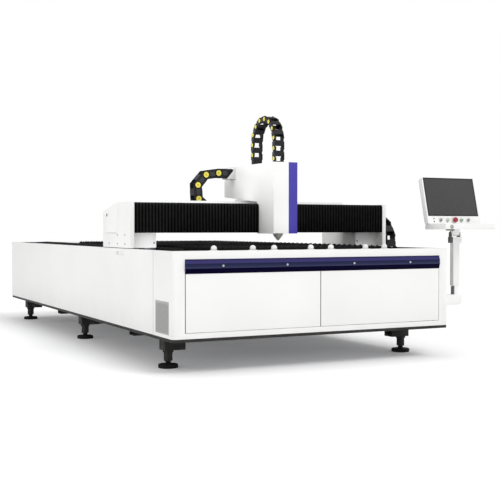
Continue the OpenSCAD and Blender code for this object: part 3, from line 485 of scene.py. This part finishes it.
class Shape:
    """Closed shells in machine millimetres, gathered into one mesh."""

    def __init__(self):
        self.bm = bmesh.new()

    def shell(self, rings, mat=0, cap=True):
        """Rings of points joined by quads, with the first and last ring capped."""
        rows = [[self.bm.verts.new(at(*p)) for p in ring] for ring in rings]
        faces = []
        for a, b in zip(rows, rows[1:]):
            n = len(a)
            for i in range(n):
                faces.append(self.bm.faces.new((a[i], a[(i + 1) % n], b[(i + 1) % n], b[i])))
        if cap:
            faces.append(self.bm.faces.new(list(reversed(rows[0]))))
            faces.append(self.bm.faces.new(rows[-1]))
        for f in faces:
            f.material_index = mat
        return faces

    def prism(self, place, outline, t0, t1, mat=0):
        """A flat outline pushed from t0 to t1 in the frame that place gives."""
        self.shell([[place(u, v, t) for u, v in outline] for t in (t0, t1)], mat)

    def turned(self, centre, profile, count=32, axis="Z"):
        """A profile of (radius, height) turned about an axis through centre."""
        rings = []
        for r, h in profile:
            ring = []
            for p, q in circle(r, count):
                d = {"Z": (p, q, h), "Y": (q, h, p)}[axis]
                ring.append((centre[0] + d[0], centre[1] + d[1], centre[2] + d[2]))
            rings.append(ring)
        self.shell(rings)

    def build(self, name, mats, bevel=0.0, segments=2, angle=SMOOTH):
        bmesh.ops.recalc_face_normals(self.bm, faces=self.bm.faces)
        if bevel:
            round_edges(self.bm, SHAPE_CREASE, bevel, segments)
        return new_object(name, self.bm, mats, angle)


def blend_even(obj):
    """Bakes the piece's transform into its mesh."""
    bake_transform(obj)


def blend_run(obj):
    """Bakes the piece's transform into its mesh."""
    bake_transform(obj)


# Camera, light and floor

camera = bpy.data.objects.new("camera", bpy.data.cameras.new("camera"))
camera.location = (-3.73718, -8.35502, 1.00156)
camera.rotation_euler = (math.radians(90 - 1.3204), 0, math.radians(-26.4817))
camera.data.lens = 68.776
camera.data.sensor_width = 36
bpy.context.scene.collection.objects.link(camera)
bpy.context.scene.camera = camera
bpy.context.scene.view_settings.view_transform = "Standard"


def seen_rays(tree):
    """1 for camera, mirror and glass rays, 0 for the rays that light the object."""
    path = tree.nodes.new("ShaderNodeLightPath")
    seen = path.outputs["Is Camera Ray"]
    for other in ("Is Glossy Ray", "Is Transmission Ray"):
        m = tree.nodes.new("ShaderNodeMath")
        m.operation = "MAXIMUM"
        tree.links.new(seen, m.inputs[0])
        tree.links.new(path.outputs[other], m.inputs[1])
        seen = m.outputs[0]
    return seen


def lift_floor(nodes, strength):
    """A little light of the floor's own for the rays that see it: it is white round the shadow."""
    glow = nodes.tree.nodes.new("ShaderNodeEmission")
    lift = nodes.math("MULTIPLY", seen_rays(nodes.tree), strength)
    nodes.link(lift, glow.inputs["Strength"])
    both = nodes.tree.nodes.new("ShaderNodeAddShader")
    nodes.link(nodes.bsdf.outputs[0], both.inputs[0])
    nodes.link(glow.outputs[0], both.inputs[1])
    nodes.link(both.outputs[0], nodes.tree.nodes["Material Output"].inputs["Surface"])


def see_white(tree, shader_out, target):
    """Camera, mirror and glass rays see plain white; every other ray sees shader_out."""
    white = tree.nodes.new("ShaderNodeBackground")
    white.inputs["Color"].default_value = (1, 1, 1, 1)
    mix = tree.nodes.new("ShaderNodeMixShader")
    tree.links.new(seen_rays(tree), mix.inputs["Fac"])
    tree.links.new(shader_out, mix.inputs[1])
    tree.links.new(white.outputs[0], mix.inputs[2])
    tree.links.new(mix.outputs[0], target)


def aimed(direction):
    return direction.to_track_quat("-Z", "Y").to_euler()


world = bpy.data.worlds.new("studio")
world.use_nodes = True
bpy.context.scene.world = world
sky = world.node_tree.nodes["Background"]
sky.inputs["Color"].default_value = (0.99, 0.99, 0.985, 1)
sky.inputs["Strength"].default_value = 0.74
surface = world.node_tree.nodes["World Output"].inputs["Surface"]
see_white(world.node_tree, sky.outputs[0], surface)

sun = bpy.data.objects.new("key", bpy.data.lights.new("key", "SUN"))
sun.data.energy = 1.15
sun.data.angle = math.radians(28)
sun.rotation_euler = aimed(Vector((-0.35, 0.75, -0.95)))
bpy.context.scene.collection.objects.link(sun)

fill = bpy.data.objects.new("fill", bpy.data.lights.new("fill", "AREA"))
fill.data.shape = "RECTANGLE"
fill.data.size = 7
fill.data.size_y = 4
fill.data.energy = 86
fill.visible_glossy = False
fill.location = (-7.5, -2.0, 3.2)
fill.rotation_euler = aimed(Vector((0, 0, 0.7)) - fill.location)
bpy.context.scene.collection.objects.link(fill)


def soft_lamp(name, size, watts, spread, place, aim):
    """A small lamp over the bed, out of the camera's and the mirrors' sight."""
    lamp = bpy.data.objects.new(name, bpy.data.lights.new(name, "AREA"))
    lamp.data.size = size
    lamp.data.energy = watts
    lamp.data.spread = math.radians(spread)
    lamp.visible_camera = False
    lamp.visible_glossy = False
    lamp.location = at(*place)
    lamp.rotation_euler = aimed(at(*aim) - lamp.location)
    bpy.context.scene.collection.objects.link(lamp)


soft_lamp("head_side", 1.0, 1.95, 100, (150, 900, 1850), (1082, 940, 1300))
soft_lamp("head_front", 0.6, 0.2, 80, (1190, 20, 1120), (1190, 600, 1130))
soft_lamp("nozzle_front", 0.2, 0.1, 50, (1250, 60, 900), (1200, 620, 960))
soft_lamp("carriage_left", 0.12, 0.105, 38, (195, 350, 925), (188, 945, 895))
soft_lamp("carriage_right", 0.06, 0.16, 50, (1450, 1000, 925), (2055, 1480, 905))

FLOOR_REACH, FLOOR_LIFT = 60, 0.11
FLOOR = Nodes("floor")
FLOOR.color(FLOOR.between(FLOOR.noise(0.8, 3), (0.93, 0.93, 0.94, 1), (0.95, 0.95, 0.955, 1)))
FLOOR.set(roughness=0.9, spec=0.05)
lift_floor(FLOOR, FLOOR_LIFT)
bm = bmesh.new()
corners = rect(-FLOOR_REACH, FLOOR_REACH, -FLOOR_REACH, FLOOR_REACH)
bm.faces.new([bm.verts.new((x, y, 0)) for x, y in corners])
floor = new_object("floor", bm, [FLOOR.mat])

# CAD nodes that stay as they are, with a finish of their own

KEEP = [
    "cross_members", "slats", "slat_combs", "slag_trays", "y_rails", "y_racks",
    "y_guide_blocks", "x_rails", "x_rack", "left_y_pinion", "right_y_pinion", "x_pinion",
    "x_guide_blocks", "gantry_carriages", "x_carriage", "z_slide", "x_chain_tray",
    "gantry_beam", "side_beams",
]
for node in KEEP:
    NODES[node].data.materials.clear()
    NODES[node].data.materials.append(finish_of(node))

# CAD nodes with rounded edges: bevel in millimetres

DRESSED = {
    "right_side_panel": 2.5, "front_cover": 2.5, "front_trim": 2, "trim_screws": 0.8,
    "side_vent": 1.5, "foot_brackets": 2, "y_chain_tray": 1, "gantry_end_plates": 3,
    "end_plate_screws": 0.6, "motor_covers": 4, "y_servo_motors": 2, "head_cover": 5,
    "head_stripe": 0.5, "x_servo_motor": 2, "x_chain_bracket": 1.5, "z_actuator": 2,
    "cutting_head": 1.5, "nozzle": 1, "console_pole": 3, "console_housing": 4,
    "console_shelf": 4, "emergency_stop": 2, "start_button": 1.2, "reset_button": 1.2,
    "key_switch": 1.2, "mode_selector": 1.2,
}
for node, bevel in DRESSED.items():
    dress(node, bevel)

# The same, with some faces in a second colour: each paints shade, in a gap or a hollow

SEAM_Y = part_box("left_side_panel")[0].y + 0.01
DECK_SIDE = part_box("rear_deck")[0].x + 0.01
LIP_Z = 0.83
ROOT_X = FRONT_HI.x + 0.0125


def middle(face):
    return face.calc_center_median()


def door_edge(face):
    return abs(face.normal.x) > 0.3


SECOND = {
    # The doors' side edges take painted shade of the gaps beside them
    "left_door": (4.5, DOOR_GAP_SHADE, door_edge),
    "right_door": (4.5, DOOR_GAP_SHADE, door_edge),
    # The side panel's front edge takes painted shade of its seam with the front cover
    "left_side_panel": (2.5, VENT_GREY_AND_SEAM_SHADE, lambda f: f.normal.y < -0.2 and middle(f).y < SEAM_Y),
    # The deck's left side takes painted shade of the channel beside it, in black
    "rear_deck": (2.5, BLACK_PAINT_AND_SHADE, lambda f: f.normal.x < -0.5 and middle(f).x < DECK_SIDE),
    # The rear panel's inside, under its top lip, takes painted shade, in black
    "rear_panel": (2, BLACK_PAINT_AND_SHADE, lambda f: f.normal.y < -0.5 and middle(f).z < LIP_Z),
    # The arm's root beside the body takes a painted shadow line
    "console_arm": (3, ARM_ROOT_SHADE, lambda f: middle(f).x < ROOT_X),
}
for node, (bevel, second, where) in SECOND.items():
    dress(node, bevel, second, where)

# Screen: a glass with a dark edge that overlaps the opening a little

LEAN, FACE = math.radians(14), (2453.0, 115.0, 1036.0)


def on_face(u, h, d):
    """A point of the leaning panel: u across, h up the face, d out of it."""
    y = h * math.sin(LEAN) - d * math.cos(LEAN)
    z = h * math.cos(LEAN) + d * math.sin(LEAN)
    return (FACE[0] + u, FACE[1] + y, FACE[2] + z)


SCREEN_U, SCREEN_V, SCREEN_EDGE = (-249.0, 246.0), (62.0, 375.0), 10.0
SCREEN_MID, SCREEN_SHARE = sum(SCREEN_V) / 2, 1 + SCREEN_EDGE / SCREEN_U[0]
SCREEN_BACK, EDGE_RISE, GLASS_RISE = -3, 1.4, 1
outer = rect(*SCREEN_U, *SCREEN_V)
inner = [(u * SCREEN_SHARE, v + math.copysign(SCREEN_EDGE, SCREEN_MID - v)) for u, v in outer]
steps = ((outer, SCREEN_BACK), (outer, EDGE_RISE), (inner, EDGE_RISE), (inner, GLASS_RISE))
screen = Shape()
faces = screen.shell([[on_face(u, v, d) for u, v in ring] for ring, d in steps], 1)
faces[-1].material_index = 0
obj = screen.build("console_screen.piece", [SCREEN, BEZEL])
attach(obj, BODY["console_screen"])
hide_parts("console_screen")

# Small dark parts that the photo shows

SOCKET_U, SOCKET_H, SOCKET_R, SOCKET_D = -198.0, (16.0, 40.0), 5.9, (-3.8, -0.4)
sockets = Shape()
for h in SOCKET_H:
    rim = circle(SOCKET_R, 24)
    sockets.shell([[on_face(SOCKET_U + u, h + v, d) for u, v in rim] for d in SOCKET_D])
obj = sockets.build("panel_sockets", [BLACK_PAINT_AND_SHADE])
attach(obj, BODY["console_housing"])

SCREW_AT = ((227.0, 945.0, 886.0), (2070.5, 945.0, 890.0))
SCREW_PROFILE = [(6, 1), (6, -2.2), (4.8, -3.2), (2.6, -3.2), (2.4, -1.4)]
screws = Shape()
for c in SCREW_AT:
    screws.turned(c, SCREW_PROFILE, 20, "Y")
obj = screws.build("carriage_screws", [DARK_METAL])
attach(obj, BODY["gantry_carriages"])

# Clamp on the front of the console's shelf: a low grey knob, and a dark bar under the lip

SHELF_Y = mm_box("console_shelf")[0].y
SHELF_VERTS = [v.co * 1000 for v in NODES["console_shelf"].data.vertices]
LIP_LOW = min(v.z for v in SHELF_VERTS if v.y - OY < SHELF_Y + 1)
KNOB_AT, KNOB_PROFILE = (2269.0, SHELF_Y, 1011.0), [(14, 1), (16.5, -1), (16.5, -3), (14.5, -4)]
CLAMP_X, CLAMP_H, CLAMP_D = (2219.0, 2297.0), 9.0, 12.0
clamp = Shape()
clamp.turned(KNOB_AT, KNOB_PROFILE, axis="Y")
bar = rect(LIP_LOW, LIP_LOW - CLAMP_H, SHELF_Y, SHELF_Y + CLAMP_D)
clamp.shell([[(x, y, z) for z, y in bar] for x in CLAMP_X], 1)
obj = clamp.build("shelf_clamp", [GREY_PLASTIC, BLACK_PAINT_AND_SHADE], bevel=0.8)
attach(obj, BODY["console_shelf"])

# Levelling feet: a hexagon coupling and a nut on a round neck, and a thick rubber pad

FOOT_X, FOOT_Y = (140.0, 2160.0), (435.0, 2476.0, 4534.0)
ROUND, HEXAGON = 32, 6
STUD_PARTS = [
    ([(16, 45), (16, 48)], ROUND),
    ([(22, 46), (34, 51), (34, 112)], HEXAGON),
    ([(42, 112), (42, 128)], HEXAGON),
    ([(24, 128), (24, 198)], ROUND),
    ([(28.8, 144), (28.8, 158)], HEXAGON),
]
PAD_PROFILE = [
    (66, 0), (70.5, 1.5), (72, 5), (72, 21), (70.5, 25.5), (66, 28), (56, 29.5), (26, 31),
    (20, 34), (19, 45),
]
studs, pads = Shape(), Shape()
for c in [(x, y, 0) for x in FOOT_X for y in FOOT_Y]:
    for profile, sides in STUD_PARTS:
        studs.turned(c, profile, sides)
    pads.turned(c, PAD_PROFILE, 48)
for shape, node, bevel in ((studs, "foot_studs", 1.5), (pads, "foot_pads", 0.0)):
    obj = shape.build(node + ".piece", [finish_of(node)], bevel)
    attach(obj, BODY[node])
    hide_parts(node)

# Base edge: a thin black strip round the base plate, under the panels

(BASE_LOW, BASE_TOP), (BASE_OUT, BASE_IN) = (228.0, 250.0), (2.0, 5.0)
BASE_END, CORNER_R = 4805.0, 30.0


def base_outline(inset, z):
    r = CORNER_R - inset
    pts = [(inset, BASE_END - inset, z)]
    for cx, start in ((CORNER_R, 180), (BODY_W - CORNER_R, 270)):
        for k in range(7):
            a = math.radians(start + 15 * k)
            pts.append((cx + r * math.cos(a), CORNER_R + r * math.sin(a), z))
    return pts + [(BODY_W - inset, BASE_END - inset, z)]


base = Shape()
loop = (
    (BASE_OUT, BASE_LOW), (BASE_OUT, BASE_TOP), (BASE_IN, BASE_TOP), (BASE_IN, BASE_LOW),
    (BASE_OUT, BASE_LOW),
)
base.shell([base_outline(*step) for step in loop], cap=False)
bmesh.ops.remove_doubles(base.bm, verts=base.bm.verts, dist=SHAPE_WELD)
obj = base.build("base_edge", [BLACK_PAINT_AND_SHADE], bevel=0.5)
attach(obj, BODY["side_beams"])

# Rubber lips along the rear deck, and guards in line with them on the side beams: dark strips,
# partly a real strip along the rail and partly painted shade of the gap beside the deck

DECK_LO, DECK_HI = mm_box("rear_deck")
BEAM_TOP = mm_box("side_beams")[1].z
LIP_T, LIP_H, LIP_END_H, LIP_SINK = 7.0, 16.0, 2.5, 1
LIP_FULL_Y, GUARD_Y = 4250.0, 420.0
LIP_STEPS = [(DECK_LO.y + 4, LIP_H), (LIP_FULL_Y, LIP_H), (DECK_HI.y - 20, LIP_END_H)]
GUARD_STEPS = [(GUARD_Y, LIP_H), (DECK_LO.y - 2, LIP_H)]


def lip(shape, x, foot_z, steps):
    """A strip with a round top edge: each step is (y, height over the deck)."""
    r = LIP_T / 2
    rings = []
    for y, height in steps:
        bow = min(r, height)
        ring = [(x, y, foot_z), (x + LIP_T, y, foot_z)]
        for k in range(9):
            a = math.radians(180 * k / 8)
            z = DECK_HI.z + height - bow + bow * math.sin(a)
            ring.append((x + r + r * math.cos(a), y, z))
        rings.append(ring)
    shape.shell(rings)


lips, guards = Shape(), Shape()
for x in (DECK_LO.x, DECK_HI.x - LIP_T):
    lip(lips, x, DECK_HI.z - LIP_SINK, LIP_STEPS)
    lip(guards, x, BEAM_TOP, GUARD_STEPS)
for shape, name in ((lips, "deck_lips"), (guards, "rail_guards")):
    obj = shape.build(name, [RUBBER])
    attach(obj, BODY["rear_deck"])

# Loading balls

lo, hi = mm_box("loading_balls")
BALL_R, CUP_R, RIM = 21.0, 31.0, FRONT_HI.z * 1000
BALL_Y, BALL_Z = (lo.y + hi.y) / 2, hi.z - BALL_R
BALL_STEP, BALL_PAIR, BALL_COUNT, BALL_SIDES = 469.4, 300.4, 7, 40
BALL_ARC = [math.radians(a) for a in range(-48, 90, 8)]
BALL_PROFILE = [(BALL_R * math.cos(a), BALL_Z + BALL_R * math.sin(a)) for a in BALL_ARC]
CUP_PROFILE = [
    (CUP_R, RIM - 4), (CUP_R, RIM + 2.5), (CUP_R - 1.5, RIM + 4), (BALL_R + 2, RIM + 4),
    (BALL_R + 0.5, RIM + 3), (BALL_R - 3, RIM - 3),
]
balls = Shape()
for i in range(BALL_COUNT):
    c = (lo.x + CUP_R + i // 2 * BALL_STEP + i % 2 * BALL_PAIR, BALL_Y, 0)
    balls.turned(c, CUP_PROFILE, BALL_SIDES)
    balls.turned(c, BALL_PROFILE + [(0.4, hi.z)], BALL_SIDES)
obj = balls.build("loading_balls.piece", [NYLON])
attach(obj, "bed")
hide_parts("loading_balls")

# Bellows

BELLOWS_Y, BELLOWS_Z = (850.0, 945.0), (965.0, 1197.0)
LEFT_RUN, RIGHT_RUN, RUNS = (36.0, 1082.0), (2264.0, 1294.0), 10
PLEAT, PLEAT_D, CLOTH_T = 26.0, 14.0, 2.5
# Insets of a pleat's steps, and the steps whose faces take the ridges' painted highlight
PLEAT_STEPS, HIGHLIGHT_STEPS = (0, 0.42, 1, 0.42), (0, 3)
CORNER, FOOT = 26.0, 4.0


def bellows_ring(x, inset):
    """The section at x: under, up the front and over the round top edge, then back inside."""
    y0, y1 = BELLOWS_Y
    z0, z1 = BELLOWS_Z
    pts = []
    for lift in (inset, inset + CLOTH_T):
        r = CORNER - lift
        run = [(y1, z0 + lift), (y0 + lift + FOOT, z0 + lift), (y0 + lift, z0 + lift + FOOT)]
        for k in range(7):
            a = math.radians(180 - 15 * k)
            run.append((y0 + CORNER + r * math.cos(a), z1 - CORNER + r * math.sin(a)))
        run.append((y1, z1 - lift))
        pts += run if lift == inset else run[::-1]
    return [(x, y, z) for y, z in pts]


def bellows_piece(name, x0, x1):
    """Pleats from x0 to x1, with a paler copy of the cloth on the ridges as painted highlight."""
    count = len(PLEAT_STEPS) * max(1, round((x1 - x0) / PLEAT))
    rings = []
    for k in range(count + 1):
        inset = PLEAT_STEPS[k % len(PLEAT_STEPS)] * PLEAT_D
        rings.append(bellows_ring(x0 + (x1 - x0) * k / count, inset))
    s = Shape()
    faces = s.shell(rings)
    for i, f in enumerate(faces[:count * len(rings[0])]):
        f.material_index = int(i // len(rings[0]) % len(PLEAT_STEPS) in HIGHLIGHT_STEPS)
    return s.build(name, [CLOTH, RIDGE_HIGHLIGHT], angle=50)


def bellows(node, fixed_x, moving_x):
    """Cloth in short runs, each with its transform baked into its mesh."""
    pleats = round(abs(moving_x - fixed_x) / PLEAT)
    for k in range(RUNS):
        i0, i1 = round(pleats * k / RUNS), round(pleats * (k + 1) / RUNS)
        xa, xb = (fixed_x + (moving_x - fixed_x) * i / pleats for i in (i0, i1))
        obj = bellows_piece(f"{node}.cloth{k}", min(xa, xb), max(xa, xb))
        blend_run(obj)
        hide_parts(node)


bellows("left_bellows", *LEFT_RUN)
bellows("right_bellows", *RIGHT_RUN)

# Cable chains

CHAIN_MATS = [CHAIN, CHAIN_LIGHT, YELLOW, ORANGE]
CHAIN_W, CHAIN_H, PLATE_W = 96.0, 74.0, 6.0
# Shares of a link's half height: lap beyond the pivots, chamfer and its length, panel
LAP, CHAMFER, CHAMFER_LONG, PANEL_V = 0.62, 0.3, 1.5, 0.52
# Shares of a link's length: end of the outer plate, start of the inner one, panel, cross bars
OUTER_TO, INNER_FROM, PANEL_U, BAR_U = 0.62, 0.52, (0.3, 0.7), (0.25, 0.75)
PLATE_LAP, PROUD, BAR_H, BAR_SINK = 0.5, 0.8, 6, 1
# Pivot caps: share of the half height, rise over the plate, material
CAPS, CAP_SINK, CAP_SIDES = ((0.66, 2.0, 2), (0.28, 2.6, 3)), 2, 20


def chain_at(s, a, r):
    """A straight run along u, a half turn upwards, and a straight run back."""
    if s < a:
        return Vector((s, 0))
    if s < a + math.pi * r:
        q = (s - a) / r
        return Vector((a + r * math.sin(q), r - r * math.cos(q)))
    return Vector((2 * a + math.pi * r - s, 2 * r))


def path_links(count, pitch, a, r):
    """The links' pairs of pivots, and how many links lie on the first straight run."""
    pts = [chain_at(i * pitch, a, r) for i in range(count + 1)]
    return list(zip(pts, pts[1:])), int(a // pitch)


def add_link(shape, place, p, q, width, height, shrink):
    """One link from pivot p to pivot q: stepped side plates, panels, cross bars, pivot caps."""
    d = q - p
    length = d.length
    d = d / length
    n = Vector((-d.y, d.x))
    h = height / 2 * shrink
    w = width / 2 * shrink
    ov, ch = h * LAP, h * CHAMFER

    def local(u, v, t):
        m = p + d * u + n * v
        return place(m.x, m.y, t)

    def plate(u0, u1, cut0, cut1):
        """An oblong whose corners are cut off at the ends that cut0 and cut1 pick."""
        o = []
        for (u, v), cut in zip(rect(u0, u1, -h, h), (cut0, cut1, cut1, cut0)):
            if not cut:
                o.append((u, v))
                continue
            inward = ch if u == u0 else -ch
            near = [(u + inward, v), (u, v - math.copysign(ch * CHAMFER_LONG, v))]
            o += near if (u == u1) == (v < 0) else near[::-1]
        return o

    for side in (-1, 1):
        t_out, t_in = side * w, side * (w - PLATE_W)
        shape.prism(local, plate(-ov, length * OUTER_TO, True, False), t_in, t_out)
        inner = plate(length * INNER_FROM, length + ov, False, True)
        shape.prism(local, inner, t_in - side * PLATE_W, t_in + side * PLATE_LAP)
        panel = rect(*(length * u for u in PANEL_U), -h * PANEL_V, h * PANEL_V)
        shape.prism(local, panel, t_in, t_out + side * PROUD, 1)
        for share, rise, mat in CAPS:
            disc = circle(h * share, CAP_SIDES)
            shape.prism(local, disc, t_out - side * CAP_SINK, t_out + side * rise, mat)
    half = w - PLATE_W + BAR_SINK
    for v0, v1 in ((-h - PROUD, -h + BAR_H), (h - BAR_H, h + PROUD)):
        shape.prism(local, rect(*(length * u for u in BAR_U), v0, v1), -half, half)


def chain_piece(name, node, place, links, shrink=1.0, size=(CHAIN_W, CHAIN_H), foot=None):
    """Links on one path; foot is the outline of a block that closes the last one."""
    s = Shape()
    for p, q in links:
        add_link(s, place, p, q, *size, shrink)
    if foot:
        half = size[0] / 2 - PLATE_W
        s.prism(place, foot, -half, half)
    obj = s.build(name, CHAIN_MATS, bevel=1.2, segments=1)
    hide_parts(node)
    return obj


# Cross chain

X_BEND, X_R, X_PITCH, X_COUNT = (888.0, 1308.0), 150.0, 116.0, 12
X_MID, X_TOP, X_SHARE = 1340.0, 161.0, 0.74
X_LOW = X_COUNT * X_PITCH - math.pi * X_R - X_TOP
X_FIXED = X_BEND[0] + X_LOW


def on_x(u, v, t):
    return (X_FIXED - u, X_MID - t, X_BEND[1] - X_R + v)


links, flat = path_links(X_COUNT, X_PITCH, X_LOW, X_R)
obj = chain_piece("x_chain.lower", "x_cable_chain", on_x, links[:flat])
blend_run(obj)
obj = chain_piece("x_chain.bend", "x_cable_chain", on_x, links[flat:-1])
blend_even(obj)
obj = chain_piece("x_chain.upper", "x_cable_chain", on_x, links[-1:])
blend_run(obj)

# Bed chain: runs that can lie in one another differ a little in size

Y_BEND, Y_R, Y_PITCH, Y_COUNT = (1114.0, 860.0), 232.0, 116.0, 22
Y_MID, Y_TOP, Y_TRAVEL, Y_SHARE = 2359, 286.0, 2700.0, 0.5
Y_PAIR, Y_UPPER, LOWER_NEST, UPPER_NEST = 2, 7, 0.002, 0.004
Y_LOW = Y_COUNT * Y_PITCH - math.pi * Y_R - Y_TOP
Y_FIXED = Y_BEND[0] + Y_LOW


def on_y(u, v, t):
    return (Y_MID - t, Y_FIXED - u, Y_BEND[1] - Y_R + v)


links, flat = path_links(Y_COUNT, Y_PITCH, Y_LOW, Y_R)
obj = chain_piece("y_chain.bend", "y_cable_chain", on_y, links[flat:-Y_PAIR])
blend_even(obj)
pairs = [links[i:min(i + Y_PAIR, flat)] for i in range(0, flat, Y_PAIR)]
for i, pair in enumerate(pairs):
    nest = 1 - LOWER_NEST * (i % 2)
    obj = chain_piece(f"y_chain.lower{i}", "y_cable_chain", on_y, pair, nest)
    blend_even(obj)
for i in range(Y_UPPER):
    nest = 1 - UPPER_NEST * i
    obj = chain_piece(f"y_chain.upper{i}", "y_cable_chain", on_y, links[-Y_PAIR:], nest)
    blend_even(obj)

# Head chain: the last link and a block close its rear leg

Z_X, Z_LEG, Z_R, Z_W, Z_H, Z_COUNT = 1178.5, 703.0, 187.0, 84.0, 50.0, 11
Z_START, Z_END, Z_RISE = 49.0, 84.0, 173.0
Z_RUN = Z_RISE + Z_START
Z_LEN = Z_RUN + math.pi * Z_R + Z_RISE - Z_END
Z_TAIL = Z_END - 0.45 * Z_H - 0.3
Z_FOOT = rect(Z_START + 8, Z_START + 47, 2 * Z_R - Z_H / 2, 2 * Z_R + Z_H / 2)
COVER_TOP = mm_box("head_cover")[1].z


def on_z(u, v, t):
    return (Z_X + t, Z_LEG + v, COVER_TOP - Z_START + u)


links, _ = path_links(Z_COUNT, Z_LEN / Z_COUNT, Z_RUN, Z_R)
links.append((links[-1][1], links[-1][1] - Vector((Z_TAIL, 0))))
obj = chain_piece("z_chain", "z_cable_chain", on_z, links, size=(Z_W, Z_H), foot=Z_FOOT)
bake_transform(obj)
